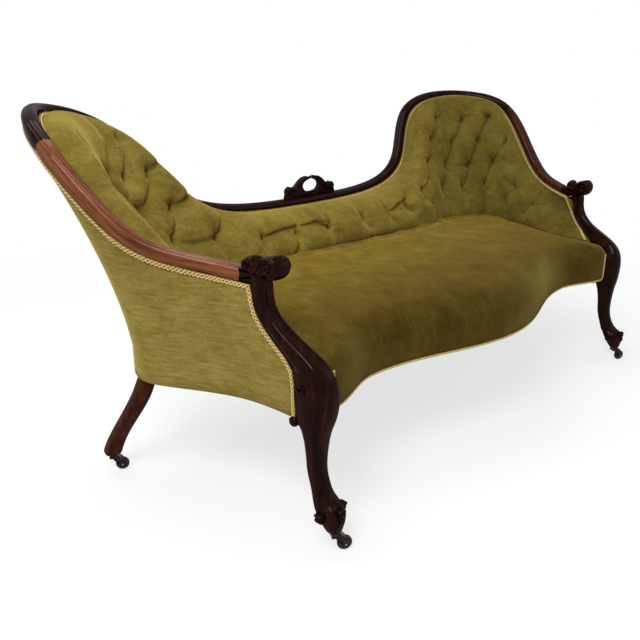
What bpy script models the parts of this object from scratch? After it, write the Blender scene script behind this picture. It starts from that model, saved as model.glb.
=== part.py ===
"""Spoon-back settee: show-wood frame, sprung serpentine seat, tufted back, gimp braid, castors."""
import math

import bmesh
import bpy
import numpy as np

# Driving dimensions, metres: +X along the settee, +Y to the back, +Z up, floor at zero
ARM_X = 0.757
ARM_Y = -0.194
ARM_HEIGHT = 0.575
REACH = 0.973
SPOON_HEIGHT = 0.888
CENTRE_HEIGHT = 0.574
CENTRE_Y = 0.335
BASE_X = 0.760
BASE_BACK = 0.255

# Seat frame
RAIL_BOTTOM = 0.292
RAIL_DEPTH = 0.060
RAIL_TOP = RAIL_BOTTOM + RAIL_DEPTH
SIDE_RAIL_THICK = 0.045
FRONT_RAIL_THICK = 0.040
CROSS_RAIL_X = 0.27
CROSS_RAIL_WIDTH = 0.030
FRONT_BULGE = -0.439
FRONT_HOLLOW = -0.337
HOLLOW_X = 0.49
FRONT_END = -0.392
SEAT_HALF = BASE_X - 0.0615

# Fits between neighbouring pieces
GAP = 0.0003
SEAT_CLEARANCE = 0.0075
PAD_EASE = 0.002
STUMP_EASE = 0.0045
SEAM = 0.004

# Upholstery
COVER_THICK = 0.0025
POST_THICK = 0.013
COVER_BOTTOM = 0.287
HESSIAN_THICK = 0.0015
WEB_THICK = 0.002
DUST_THICK = 0.0012
SEAT_LINE = 0.435
SEAT_EDGE = 0.417
SEAT_CROWN = 0.034
FRONT_BORDER = 0.014
ARM_PAD = 0.060
PAD_THIN = 0.020
BACK_PAD = 0.080
BACK_CROWN = 0.048
TUFT_PITCH = 0.126
TUFT_ROW = 0.080
TUFT_FIRST = 0.566
TUFT_PUFF = 0.026
TUFT_SINK = 0.012
GIMP_WIDTH = 0.012
GIMP_THICK = 0.0025
WALL_SWEEP = 1.45

# Top rail section: outward, upward (metres)
RAIL_SECTION = (
    (-0.0170, -0.0150), (-0.0170, 0.0010), (-0.0145, 0.0080), (-0.0090, 0.0125), (-0.0030, 0.0120),
    (0.0020, 0.0145), (0.0090, 0.0145), (0.0150, 0.0095), (0.0185, 0.0020), (0.0185, -0.0070),
    (0.0155, -0.0165), (-0.0020, -0.0165),
)
RAIL_OUT = 0.0155
RAIL_UNDER = 0.0188

# Castors
FOOT_BOTTOM = 0.052
LEG_X = BASE_X - 0.018
FRONT_FOOT = (LEG_X, -0.447)
BACK_FOOT = (0.884, 0.190)
WHEEL_RADIUS = 0.017
WHEEL_WIDTH = 0.013
TRAIL = 0.022
TRAIL_X = 0.857
TRAIL_Y = -math.sqrt(1.0 - TRAIL_X ** 2)
AXLE_RADIUS = 0.002
PINTLE_RADIUS = 0.003
HORN_HALF = 0.011

WOOD = ((0.050, 0.012, 0.008, 1.0), 0.22, 0.0)
RAIL_WOOD = ((0.120, 0.034, 0.015, 1.0), 0.25, 0.0)
BEECH = ((0.52, 0.36, 0.20, 1.0), 0.60, 0.0)
VELVET = ((0.190, 0.170, 0.036, 1.0), 0.85, 0.0)
BRAID = ((0.55, 0.40, 0.10, 1.0), 0.55, 0.0)
JUTE = ((0.42, 0.31, 0.17, 1.0), 0.90, 0.0)
CALICO = ((0.05, 0.05, 0.05, 1.0), 0.90, 0.0)
STEEL = ((0.30, 0.26, 0.22, 1.0), 0.40, 1.0)
IRON = ((0.030, 0.026, 0.022, 1.0), 0.45, 1.0)
CHINA = ((0.060, 0.045, 0.035, 1.0), 0.35, 0.0)

for old in list(bpy.data.objects):
    bpy.data.objects.remove(old, do_unlink=True)
PARTS = bpy.data.collections.new("spoon_back_settee")
CUTTERS = bpy.data.collections.new("cutters")
bpy.context.scene.collection.children.link(PARTS)
bpy.context.scene.collection.children.link(CUTTERS)


# Helpers for meshes
def finish(name, bm, look, origin=(0.0, 0.0, 0.0), cutter=False):
    bmesh.ops.remove_doubles(bm, verts=bm.verts[:], dist=1e-6)
    bmesh.ops.triangulate(bm, faces=bm.faces[:], quad_method="FIXED")
    bmesh.ops.recalc_face_normals(bm, faces=bm.faces[:])
    mesh = bpy.data.meshes.new(name)
    bm.to_mesh(mesh)
    bm.free()
    ob = bpy.data.objects.new(name, mesh)
    ob.location = origin
    if cutter:
        CUTTERS.objects.link(ob)
        ob.hide_render = True
        ob.display_type = "WIRE"
        return ob
    PARTS.objects.link(ob)
    paint(ob, look)
    return ob


def paint(ob, look):
    mat = bpy.data.materials.new(ob.name)
    mat.use_nodes = True
    shader = mat.node_tree.nodes["Principled BSDF"]
    shader.inputs["Base Color"].default_value = look[0]
    shader.inputs["Roughness"].default_value = look[1]
    shader.inputs["Metallic"].default_value = look[2]
    mat.diffuse_color = look[0]
    ob.data.materials.clear()
    ob.data.materials.append(mat)


def cut(ob, tool, operation="DIFFERENCE"):
    mod = ob.modifiers.new(tool.name, "BOOLEAN")
    mod.operation = operation
    mod.solver = "EXACT"
    mod.object = tool


def quad(bm, a, b, c, d, across):
    # a piece that runs across the middle is split the same way on both sides
    if across and a.co.x + b.co.x + c.co.x + d.co.x < 0.0:
        bm.faces.new((b, c, d, a))
    else:
        bm.faces.new((a, b, c, d))


def strip(bm, left, right, sunk=None):
    # triangles between two lines of points that both rise, their edges along the sunk pleats
    i = 0
    j = 0
    while i < len(left) - 1 or j < len(right) - 1:
        go_left = j == len(right) - 1
        if i < len(left) - 1 and j < len(right) - 1:
            step = left[i + 1].co.z - right[j + 1].co.z
            go_left = step <= 0.0
            if sunk and abs(step) < 1e-5:
                go_left = sunk[left[i + 1]] + sunk[right[j]] <= sunk[left[i]] + sunk[right[j + 1]]
        if go_left:
            bm.faces.new((left[i], left[i + 1], right[j]))
            i += 1
        else:
            bm.faces.new((left[i], right[j + 1], right[j]))
            j += 1


def loft_mesh(rings):
    bm = bmesh.new()
    rows = []
    for ring in rings:
        rows.append([bm.verts.new([float(c) for c in p]) for p in ring])
    count = len(rows[0])
    across = rings[0][0][0] * rings[-1][0][0] < 0.0
    for low, high in zip(rows, rows[1:]):
        for i in range(count):
            j = (i + 1) % count
            quad(bm, low[i], low[j], high[j], high[i], across)
    caps = [bm.faces.new(list(reversed(rows[0]))), bm.faces.new(rows[-1])]
    bmesh.ops.triangulate(bm, faces=caps)
    return bm


def loft(name, rings, look):
    return finish(name, loft_mesh(rings), look)


def slab_mesh(front, back):
    # front and back are equal grids of points, [column][row]
    bm = bmesh.new()
    grids = []
    for grid in (front, back):
        grids.append([[bm.verts.new([float(c) for c in p]) for p in col] for col in grid])
    cols = len(front)
    rows = len(front[0])
    across = front[0][0][0] * front[-1][0][0] < 0.0
    for grid in grids:
        for i in range(cols - 1):
            for j in range(rows - 1):
                quad(bm, grid[i][j], grid[i + 1][j], grid[i + 1][j + 1], grid[i][j + 1], across)
    near, far = grids
    for i in range(cols - 1):
        for j in (0, rows - 1):
            bm.faces.new((near[i][j], near[i + 1][j], far[i + 1][j], far[i][j]))
    for j in range(rows - 1):
        for i in (0, cols - 1):
            bm.faces.new((near[i][j], near[i][j + 1], far[i][j + 1], far[i][j]))
    return bm


def slab(name, front, back, look):
    return finish(name, slab_mesh(front, back), look)


def prism_mesh(outline, low, high):
    rings = [[(p[0], p[1], low) for p in outline], [(p[0], p[1], high) for p in outline]]
    return loft_mesh(rings)


def turned(name, profile, steps, look, origin, cutter=False):
    # profile runs from the top down, at +X; swept about Z
    mesh = bpy.data.meshes.new(name)
    verts = [(r, 0.0, z) for r, z in profile]
    closed = profile[0][0] > 1e-6
    edges = [(i, i + 1) for i in range(len(verts) - 1)]
    if closed:
        edges.append((len(verts) - 1, 0))
    mesh.from_pydata(verts, edges, [])
    ob = bpy.data.objects.new(name, mesh)
    ob.location = origin
    screw = ob.modifiers.new("turn", "SCREW")
    screw.axis = "Z"
    screw.angle = 2.0 * math.pi
    screw.steps = steps
    screw.render_steps = steps
    screw.use_merge_vertices = True
    screw.merge_threshold = 0.00001
    screw.use_smooth_shade = False
    if cutter:
        CUTTERS.objects.link(ob)
        ob.hide_render = True
        ob.display_type = "WIRE"
        return ob
    PARTS.objects.link(ob)
    paint(ob, look)
    return ob


def smooth(t):
    t = min(1.0, max(0.0, t))
    return t * t * (3.0 - 2.0 * t)


def unit(v):
    v = np.asarray(v, float)
    return v / np.linalg.norm(v)


# Lines of the settee: right half stations from the arm scroll to the middle of the back
# each is the top rail's centre and the outer foot of the wall below it
LINE = (
    ((ARM_X, ARM_Y, ARM_HEIGHT), (BASE_X, -0.3415)),
    ((ARM_X + 0.046, ARM_Y + 0.077, ARM_HEIGHT + 0.016), (BASE_X + 0.003, -0.240)),
    ((ARM_X + 0.121, ARM_Y + 0.168, ARM_HEIGHT + 0.050), (BASE_X + 0.030, -0.140)),
    ((REACH - 0.026, 0.084, ARM_HEIGHT + 0.158), (BASE_X + 0.088, -0.020)),
    ((REACH, 0.211, SPOON_HEIGHT - 0.036), (BASE_X + 0.102, 0.075)),
    ((REACH - 0.050, 0.330, SPOON_HEIGHT - 0.003), (BASE_X + 0.050, 0.160)),
    ((REACH - 0.123, 0.416, SPOON_HEIGHT - 0.001), (BASE_X - 0.035, BASE_BACK - 0.042)),
    ((REACH - 0.313, 0.449, SPOON_HEIGHT - 0.062), (BASE_X - 0.190, BASE_BACK - 0.012)),
    ((REACH - 0.447, CENTRE_Y + 0.053, SPOON_HEIGHT - 0.227), (BASE_X - 0.310, BASE_BACK - 0.005)),
    ((REACH - 0.709, CENTRE_Y + 0.017, CENTRE_HEIGHT + 0.003), (BASE_X - 0.510, BASE_BACK)),
    ((0.100, CENTRE_Y, CENTRE_HEIGHT), (0.100, BASE_BACK)),
)


def spline(knots, points):
    t = np.asarray(knots, float)
    p = np.asarray(points, float)
    n = len(t)
    h = np.diff(t)
    a = np.zeros((n, n))
    b = np.zeros((n, p.shape[1]))
    a[0, 0] = 1.0
    a[-1, -1] = 1.0
    for i in range(1, n - 1):
        a[i, i - 1] = h[i - 1]
        a[i, i] = 2.0 * (h[i - 1] + h[i])
        a[i, i + 1] = h[i]
        b[i] = 6.0 * ((p[i + 1] - p[i]) / h[i] - (p[i] - p[i - 1]) / h[i - 1])
    m = np.linalg.solve(a, b)

    def at(x):
        i = int(np.clip(np.searchsorted(t, x) - 1, 0, n - 2))
        d = h[i]
        s = (t[i + 1] - x) / d
        r = (x - t[i]) / d
        return s * p[i] + r * p[i + 1] + ((s ** 3 - s) * m[i] + (r ** 3 - r) * m[i + 1]) * d * d / 6.0

    return at


right_rail = [np.array(s[0]) for s in LINE]
right_base = [np.array((s[1][0], s[1][1])) for s in LINE]
steps = [np.linalg.norm(q - p) for p, q in zip(right_rail, right_rail[1:])]
run = np.concatenate(([0.0], np.cumsum(steps)))
half_run = run[-1] + right_rail[-1][0]
knots = list(run / half_run)
knots = knots + [2.0 - k for k in reversed(knots)]
mirror3 = np.array((-1.0, 1.0, 1.0))
mirror2 = np.array((-1.0, 1.0))
rail_at = spline(knots, right_rail + [p * mirror3 for p in reversed(right_rail)])
base_at = spline(knots, right_base + [p * mirror2 for p in reversed(right_base)])


def rail_frame(u):
    step = 0.002
    low = max(0.0, u - step)
    high = min(2.0, u + step)
    tangent = unit(rail_at(high) - rail_at(low))
    outward = unit((tangent[1], -tangent[0], 0.0))
    upward = np.cross(outward, tangent)
    if upward[2] < 0.0:
        upward = -upward
    return rail_at(u), tangent, outward, upward


def base_frame(u):
    step = 0.002
    low = max(0.0, u - step)
    high = min(2.0, u + step)
    t = unit(base_at(high) - base_at(low))
    inward = np.array((-t[1], t[0], 0.0))
    p = base_at(u)
    return np.array((p[0], p[1], 0.0)), np.array((t[0], t[1], 0.0)), inward


# Arc length along the middle height of the back, from the middle outward
def middle(u):
    p = rail_at(u)
    b = base_at(u)
    return np.array((0.5 * (p[0] + b[0]), 0.5 * (p[1] + b[1]), 0.5 * (p[2] + RAIL_TOP)))


U_TABLE = np.linspace(1.0, 0.0, 401)
MIDDLE = np.array([middle(u) for u in U_TABLE])
S_TABLE = np.concatenate(([0.0], np.cumsum(np.linalg.norm(np.diff(MIDDLE, axis=0), axis=1))))
S_END = S_TABLE[-1]


def u_of_s(s):
    u = float(np.interp(abs(s), S_TABLE, U_TABLE))
    return u if s >= 0.0 else 2.0 - u


def s_of_u(u):
    s = float(np.interp(1.0 - abs(u - 1.0), U_TABLE[::-1], S_TABLE[::-1]))
    return s if u <= 1.0 else -s


def u_of_x(x):
    table = np.array([rail_at(u)[0] for u in U_TABLE])
    u = float(np.interp(abs(x), table[:300], U_TABLE[:300]))
    return u if x >= 0.0 else 2.0 - u


# Front leg sections from the foot up: height, front, rear, shift in x, width, squareness of the rear
LEG = (
    (FOOT_BOTTOM, -0.461, -0.433, 0.0, 0.028, 2.4),
    (0.064, -0.463, -0.427, 0.0, 0.038, 2.4),
    (0.080, -0.466, -0.417, -0.001, 0.052, 2.4),
    (0.094, -0.465, -0.408, -0.001, 0.062, 2.4),
    (0.108, -0.455, -0.402, -0.001, 0.056, 2.4),
    (0.122, -0.441, -0.395, 0.0, 0.046, 2.4),
    (0.142, -0.423, -0.384, 0.0, 0.041, 2.4),
    (0.170, -0.413, -0.375, 0.0, 0.039, 2.4),
    (0.205, -0.412, -0.371, 0.0, 0.041, 2.4),
    (0.240, -0.416, -0.367, -0.001, 0.047, 2.6),
    (0.268, -0.421, -0.362, -0.002, 0.055, 3.5),
    (0.286, -0.426, -0.358, -0.002, 0.061, 8.0),
    (0.310, -0.434, -0.355, -0.004, 0.070, 8.0),
    (0.335, -0.440, -0.353, -0.004, 0.077, 8.0),
    (0.365, -0.441, -0.352, -0.003, 0.075, 8.0),
    (0.392, -0.434, -0.349, -0.001, 0.066, 8.0),
    (0.415, -0.416, -0.332, 0.001, 0.056, 8.0),
    (ARM_HEIGHT - 0.137, -0.380, -0.305, 0.004, 0.047, 8.0),
    (ARM_HEIGHT - 0.111, -0.331, -0.275, 0.006, 0.042, 8.0),
    (ARM_HEIGHT - 0.082, -0.287, -0.253, 0.008, 0.038, 8.0),
    (ARM_HEIGHT - 0.049, -0.269, -0.238, 0.009, 0.036, 8.0),
    (ARM_HEIGHT - 0.019, -0.267, -0.231, 0.009, 0.036, 8.0),
    (ARM_HEIGHT, -0.267, -0.231, 0.009, 0.036, 8.0),
)
KNEE_REAR = LEG[13][2]
LEG_Z = [s[0] for s in LEG]
LEG_REAR = [s[2] for s in LEG]
LEG_TOP_REAR = LEG[-2][2]


def stump_rear(z):
    return float(np.interp(z, LEG_Z, LEG_REAR)) + STUMP_EASE


# Wall behind the pads: a point at depth d inside the outer face, w from seat rail to top rail
def bare_wall(u, w, d):
    base, along, inward = base_frame(u)
    p, tangent, outward, upward = rail_frame(u)
    top = p - upward * (RAIL_UNDER + GAP) + outward * (RAIL_OUT - d)
    low = base + inward * d
    z = RAIL_TOP + w * (top[2] - RAIL_TOP)
    flat = low + (top - low) * (w ** WALL_SWEEP)
    return np.array((flat[0], flat[1], z))


def wall(u, w, d):
    start = bare_wall(0.0, w, d)
    return settle(u, bare_wall(u, w, d), stump_rear(start[2]) - start[1], w)


ARM_BLEND = 0.16


def settle(u, point, shift, w):
    # near the arm the panels run forward to the rear face of the stump, their tops along the rail
    near = 1.0 - abs(u - 1.0)
    if near >= ARM_BLEND:
        return point
    tangent = rail_frame(0.7 * near)[1]
    along = tangent / tangent[1]
    if u > 1.0:
        along = along * np.array((-1.0, 1.0, 1.0))
    heading = np.array((0.0, 1.0, 0.0)) * (1.0 - w ** 3) + along * w ** 3
    return point + heading * (shift * (1.0 - smooth(near / ARM_BLEND)))


def pad_depth(u):
    near = 1.0 - abs(u - 1.0)
    return ARM_PAD + (BACK_PAD - ARM_PAD) * smooth(near / 0.3)


def tuft(s, z, top):
    a = s / TUFT_PITCH + (z - TUFT_FIRST) / (2.0 * TUFT_ROW)
    b = s / TUFT_PITCH - (z - TUFT_FIRST) / (2.0 * TUFT_ROW)
    puff = (abs(math.sin(math.pi * a)) * abs(math.sin(math.pi * b))) ** 0.5
    sink = math.exp(-((a - round(a)) ** 2 + (b - round(b)) ** 2) / 0.03)
    fade = smooth((top - z) / 0.07) * smooth((z - SEAT_LINE) / 0.03)
    return (TUFT_PUFF * (puff - 0.7) - TUFT_SINK * sink) * fade


# Front face of the inside back at a column, w from the seat deck to the top rail
PAD_BOTTOM = RAIL_TOP + GAP + HESSIAN_THICK + GAP
RAIL_FRONT = RAIL_OUT + 0.0175
ROW_STEP = 0.5 * TUFT_ROW
TOP_ROWS = (0.034, 0.0125)


def bare_pad(u, z):
    base, along, inward = base_frame(u)
    p, tangent, outward, upward = rail_frame(u)
    top = p - upward * (RAIL_UNDER + GAP) + outward * (RAIL_OUT - RAIL_FRONT)
    rise = min(1.0, max(0.0, (z - SEAT_LINE) / (top[2] - SEAT_LINE)))
    near = 1.0 - abs(u - 1.0)
    thin = PAD_THIN * smooth((z - SEAT_LINE) / 0.03) * (1.0 - smooth(near / 0.10)) * smooth((0.9 - rise) / 0.4)
    low = base + inward * (pad_depth(u) - thin)
    flat = low + (top - low) * rise
    crown = BACK_CROWN * math.sqrt(4.0 * rise * (1.0 - rise)) * smooth(near / 0.25)
    if rise < 1.0:
        crown += tuft(s_of_u(u), z, top[2]) * smooth((near - 0.05) / 0.12)
    face = flat + inward * crown
    return np.array((face[0], face[1], z))


def pad_front(u, z):
    start_top = pad_top(0.0)
    level = min(z, start_top)
    shift = stump_rear(level) - bare_pad(0.0, level)[1]
    rise = min(1.0, max(0.0, (z - RAIL_TOP) / (pad_top(u) - RAIL_TOP)))
    return settle(u, bare_pad(u, z), shift, rise)


def pad_top(u):
    p, tangent, outward, upward = rail_frame(u)
    return (p - upward * (RAIL_UNDER + GAP))[2]


def pad_column(u):
    # rows at halves of the tuft rows, closer together at the rolled top edge
    high = pad_top(u)
    levels = [PAD_BOTTOM, 0.5 * (PAD_BOTTOM + SEAT_LINE), SEAT_LINE]
    level = TUFT_FIRST - 2.0 * ROW_STEP
    while level < high - TOP_ROWS[0] - 0.3 * ROW_STEP:
        if level > SEAT_LINE + 0.3 * ROW_STEP:
            levels.append(level)
        level += ROW_STEP
    levels += [high - d for d in TOP_ROWS] + [high]
    return [pad_front(u, z) for z in levels]


def pad_sunk(u, column):
    high = pad_top(u)
    return [tuft(s_of_u(u), p[2], high) for p in column]


def pad_back(u):
    depth = COVER_THICK + POST_THICK + 2.0 * GAP + PAD_EASE
    tips = [wall(u, w, depth) for w in (1.0, 0.8, 0.6, 0.4, 0.2, 0.0)]
    tips[-1][2] = PAD_BOTTOM
    return tips


# Columns of the back at whole quarters of the tuft spacing
QUARTER = TUFT_PITCH / 4.0
SPLIT = 4.0 * TUFT_PITCH
right_s = [SPLIT + k * QUARTER for k in range(int((S_END - SPLIT) / QUARTER))]
right_s[0] += 0.5 * SEAM
if S_END - right_s[-1] < 0.5 * QUARTER:
    right_s.pop()
right_s.append(S_END)
right_u = [u_of_s(s) for s in right_s]
centre_s = [k * QUARTER for k in range(-16, 17)]
centre_s[0] += 0.5 * SEAM
centre_s[-1] -= 0.5 * SEAM
centre_u = [u_of_s(s) for s in centre_s]


def pad_mesh(us, fronts, backs):
    bm = bmesh.new()
    sunk = {}
    near = [[bm.verts.new([float(c) for c in p]) for p in column] for column in fronts]
    far = [[bm.verts.new([float(c) for c in p]) for p in column] for column in backs]
    for u, column, points in zip(us, near, fronts):
        sunk.update(zip(column, pad_sunk(u, points)))
    for i in range(len(near) - 1):
        strip(bm, near[i][:-2], near[i + 1][:-2], sunk)
        for j in (-3, -2):
            bm.faces.new((near[i][j], near[i + 1][j], near[i + 1][j + 1], near[i][j + 1]))
        bm.faces.new((near[i][-1], near[i + 1][-1], far[i + 1][0], far[i][0]))
        bm.faces.new((near[i][0], near[i + 1][0], far[i + 1][-1], far[i][-1]))
        for j in range(len(far[0]) - 1):
            bm.faces.new((far[i][j], far[i + 1][j], far[i + 1][j + 1], far[i][j + 1]))
    for i in (0, -1):
        strip(bm, near[i], far[i][::-1])
    return bm


flip3 = np.array((-1.0, 1.0, 1.0))


def flipped(rings):
    return [[p * flip3 for p in ring] for ring in rings]


right_fronts = [pad_column(u) for u in right_u]
right_backs = [pad_back(u) for u in right_u]
finish("right_inside_back", pad_mesh(right_u, right_fronts, right_backs), VELVET)
finish("left_inside_back", pad_mesh(right_u, flipped(right_fronts), flipped(right_backs)), VELVET)
centre_fronts = [pad_column(u) for u in centre_u]
finish("centre_inside_back", pad_mesh(centre_u, centre_fronts, [pad_back(u) for u in centre_u]), VELVET)


# Outside panels
def cover_columns(us, d):
    grid = []
    for u in us:
        column = []
        for z in (COVER_BOTTOM, RAIL_TOP):
            column.append(wall(u, 0.0, d))
            column[-1][2] = z
        column += [wall(u, w, d) for w in (0.2, 0.4, 0.6, 0.8, 1.0)]
        grid.append(column)
    return grid


def cover(name, us):
    return slab(name, cover_columns(us, 0.0), cover_columns(us, COVER_THICK), VELVET)


COVER_STEP = 0.042
LEG_BLOCK = 0.036
LEG_BLOCK_THICK = 0.034
U_LEG = knots[4]
leg_speed = np.linalg.norm(base_at(U_LEG + 0.001) - base_at(U_LEG - 0.001)) / 0.002
du_leg = 0.5 * LEG_BLOCK / leg_speed
du_gap = GAP / leg_speed
LEG_NEAR = U_LEG - du_leg
LEG_FAR = U_LEG + du_leg
cover_split = 5.0 * TUFT_PITCH


def spread(s0, s1, step):
    n = max(1, round(abs(s1 - s0) / step))
    return [s0 + (s1 - s0) * k / n for k in range(n + 1)]


side_s = spread(cover_split, s_of_u(LEG_FAR), COVER_STEP) + spread(s_of_u(LEG_NEAR), S_END, COVER_STEP)
side_s[0] += 0.5 * GAP
side_u = [u_of_s(s) for s in side_s]
mid_s = spread(-cover_split, cover_split, COVER_STEP)
mid_s[0] += 0.5 * GAP
mid_s[-1] -= 0.5 * GAP
mid_u = [u_of_s(s) for s in mid_s]
cover("right_outside_panel", side_u)
cover("left_outside_panel", [2.0 - u for u in side_u])
cover("centre_outside_panel", mid_u)


# Top rails
def rail_ring(u):
    p, tangent, outward, upward = rail_frame(u)
    return [p + outward * a + upward * b for a, b in RAIL_SECTION]


def top_rail(name, u0, u1, count, look):
    us = [u0 + (u1 - u0) * k / count for k in range(count + 1)]
    return loft(name, [rail_ring(u) for u in us], look)


U_SCARF = knots[3] + 0.75 * (knots[4] - knots[3])
U_DIP = knots[8] + 0.35 * (knots[9] - knots[8])
HALF_GAP = 0.5 * GAP / half_run
U_HEAD = GAP / half_run
top_rail("right_arm_rail", U_HEAD, U_SCARF - HALF_GAP, 14, RAIL_WOOD)
top_rail("left_arm_rail", 2.0 - U_HEAD, 2.0 - U_SCARF + HALF_GAP, 14, RAIL_WOOD)
top_rail("right_spoon_rail", U_SCARF + HALF_GAP, U_DIP - HALF_GAP, 27, WOOD)
top_rail("left_spoon_rail", 2.0 - U_SCARF - HALF_GAP, 2.0 - U_DIP + HALF_GAP, 27, WOOD)
top_rail("centre_back_rail", U_DIP + HALF_GAP, 2.0 - U_DIP - HALF_GAP, 26, WOOD)


# Front legs with the arm stump and scroll
def leg_ring(section, side):
    z, front, rear, shift, width, square = section
    x = LEG_X + shift
    ring = []
    mid = 0.5 * (front + rear)
    half = 0.5 * (rear - front)
    for k in range(12):
        angle = 2.0 * math.pi * (k + 0.5) / 12.0
        c = math.cos(angle)
        s = math.sin(angle)
        power = 2.0 / (square if s > 0.0 else 2.6)
        px = 0.5 * width * math.copysign(abs(c) ** power, c)
        py = half * math.copysign(abs(s) ** power, s)
        ring.append((side * (x + px), mid + py, z))
    return ring


# Scroll head outline in y and z: volute in front, hollow on top, back curl over the rail joint
HEAD_TIP = ARM_Y - 0.108
HEAD_RADIUS = 0.0225
HEAD_LENGTH = 0.026
HEAD_WIDTH = 0.044
HEAD_LEAN = 0.22
HEAD_TOP = ARM_HEIGHT + 0.044
CURL_RADIUS = 0.0112


def head_outline():
    cy = HEAD_TIP + HEAD_LENGTH
    cz = HEAD_TOP - HEAD_RADIUS
    pts = []
    for k in range(10):
        angle = math.radians(-62.0 - 22.0 * k)
        pts.append((cy + HEAD_LENGTH * math.cos(angle), cz + HEAD_RADIUS * math.sin(angle)))
    pts.append((ARM_Y - 0.049, HEAD_TOP - 0.019))
    cy = ARM_Y - 0.028
    cz = HEAD_TOP - 0.0190
    for k in range(5):
        angle = math.radians(150.0 - 40.0 * k)
        pts.append((cy + CURL_RADIUS * math.cos(angle), cz + CURL_RADIUS * math.sin(angle)))
    pts.append((ARM_Y - 0.014, ARM_HEIGHT + 0.0185))
    pts.append((ARM_Y + 0.020, ARM_HEIGHT + 0.0185))
    pts.append((ARM_Y + 0.020, ARM_HEIGHT - 0.0155))
    pts.append((LEG_TOP_REAR - 0.004, ARM_HEIGHT - 0.0155))
    pts.append((-0.262, ARM_HEIGHT - 0.0155))
    return pts


def scroll_head(side):
    outline = head_outline()
    half = 0.5 * HEAD_WIDTH
    rings = []
    for offset, shrink in ((-half, 0.82), (-half + 0.005, 1.0), (half - 0.005, 1.0), (half, 0.82)):
        ring = []
        mean = (ARM_Y - 0.05, ARM_HEIGHT + 0.018)
        for y, z in outline:
            py = mean[0] + (y - mean[0]) * shrink if y < ARM_Y else y
            pz = mean[1] + (z - mean[1]) * shrink
            lean = HEAD_LEAN * (py - ARM_Y)
            ring.append((side * (ARM_X + lean + offset), py, pz))
        rings.append(ring)
    bm = loft_mesh(rings)
    p, tangent, outward, upward = rail_frame(0.0)
    p = p * np.array((side, 1.0, 1.0))
    tangent = tangent * np.array((side, 1.0, 1.0))
    geom = bm.verts[:] + bm.edges[:] + bm.faces[:]
    bmesh.ops.bisect_plane(bm, geom=geom, plane_co=p, plane_no=tangent, clear_outer=True)
    edges = [e for e in bm.edges if e.is_boundary]
    bmesh.ops.contextual_create(bm, geom=edges)
    return bm


def front_leg(name, side):
    leg = loft(name, [leg_ring(s, side) for s in LEG], WOOD)
    head = finish(name + "_scroll", scroll_head(side), None, cutter=True)
    cut(leg, head, "UNION")
    leg.modifiers[0].use_self = True
    return leg


front_leg("right_front_leg", 1.0)
front_leg("left_front_leg", -1.0)


# Seat rails that follow the wall, ended square to the back leg blocks
RAIL_FACE = COVER_THICK + GAP


def rail_face(u):
    base, along, inward = base_frame(u)
    return base + inward * RAIL_FACE, inward


block_a = rail_face(LEG_NEAR)[0]
block_b = rail_face(LEG_FAR)[0]
block_along = unit(block_b - block_a)
block_inward = np.array((-block_along[1], block_along[0], 0.0))


def band_ring(face, inward):
    inner = face + inward * SIDE_RAIL_THICK
    ring = []
    for p, z in ((face, RAIL_BOTTOM), (inner, RAIL_BOTTOM), (inner, RAIL_TOP), (face, RAIL_TOP)):
        ring.append(np.array((p[0], p[1], z)))
    return ring


def side_rings():
    face = rail_face(0.0)[0]
    face[1] = KNEE_REAR + 2.0 * GAP
    rings = [band_ring(face, np.array((-1.0, 0.0, 0.0)))]
    us = sorted(u for u in side_u if 0.0 < u < LEG_NEAR - 1e-6)
    rings += [band_ring(*rail_face(u)) for u in us]
    rings.append(band_ring(block_a - block_along * GAP, block_inward))
    return rings


def rear_rings():
    us = sorted([u for u in side_u if u > LEG_FAR + 1e-6] + [u for u in mid_u if u < 1.0 + 1e-6])
    rings = [band_ring(block_b + block_along * GAP, block_inward)]
    rings += [band_ring(*rail_face(u)) for u in us]
    return rings


right_side = side_rings()
loft("right_seat_rail", right_side, BEECH)
loft("left_seat_rail", flipped(right_side), BEECH)
rear_half = rear_rings()
rear_ring = rear_half + flipped(rear_half[::-1])[1 if abs(rear_half[-1][0][0]) < 1e-6 else 0:]
loft("back_seat_rail", rear_ring, BEECH)


# Back legs
def back_leg(name, side):
    along = block_along
    inward = block_inward
    width = np.linalg.norm(block_b - block_a)
    block = 0.5 * (block_a + block_b) + inward * 0.5 * LEG_BLOCK_THICK
    foot = np.array((BACK_FOOT[0], BACK_FOOT[1], 0.0))
    shift = foot - np.array((block[0], block[1], 0.0))
    sizes = (
        (RAIL_TOP, width, LEG_BLOCK_THICK), (COVER_BOTTOM - 0.001, width, LEG_BLOCK_THICK),
        (0.262, 0.042, 0.040), (0.232, 0.043, 0.041), (0.202, 0.042, 0.041), (0.172, 0.041, 0.040),
        (0.142, 0.040, 0.039), (0.112, 0.040, 0.039), (0.088, 0.041, 0.040), (0.066, 0.042, 0.042),
        (FOOT_BOTTOM, 0.029, 0.029),
    )
    top = COVER_BOTTOM - 0.001
    rings = []
    for z, wide, deep in sizes:
        f = smooth((top - z) / (top - FOOT_BOTTOM)) ** 1.2
        c = block + shift * f
        ring = []
        for ax, ay in ((1, 0.72), (0.72, 1), (-0.72, 1), (-1, 0.72), (-1, -0.72), (-0.72, -1), (0.72, -1), (1, -0.72)):
            p = c + along * (0.5 * wide * ax) + inward * (0.5 * deep * ay)
            ring.append((side * p[0], p[1], z))
        rings.append(ring)
    return loft(name, rings, WOOD)


back_leg("right_back_leg", 1.0)
back_leg("left_back_leg", -1.0)


# Serpentine front
def front_line(x):
    x = abs(x)
    if x < HOLLOW_X:
        return FRONT_BULGE + (FRONT_HOLLOW - FRONT_BULGE) * 0.5 * (1.0 - math.cos(math.pi * x / HOLLOW_X))
    t = min(1.0, (x - HOLLOW_X) / (SEAT_HALF - HOLLOW_X))
    return FRONT_HOLLOW + (FRONT_END - FRONT_HOLLOW) * 0.5 * (1.0 - math.cos(math.pi * t))


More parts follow.
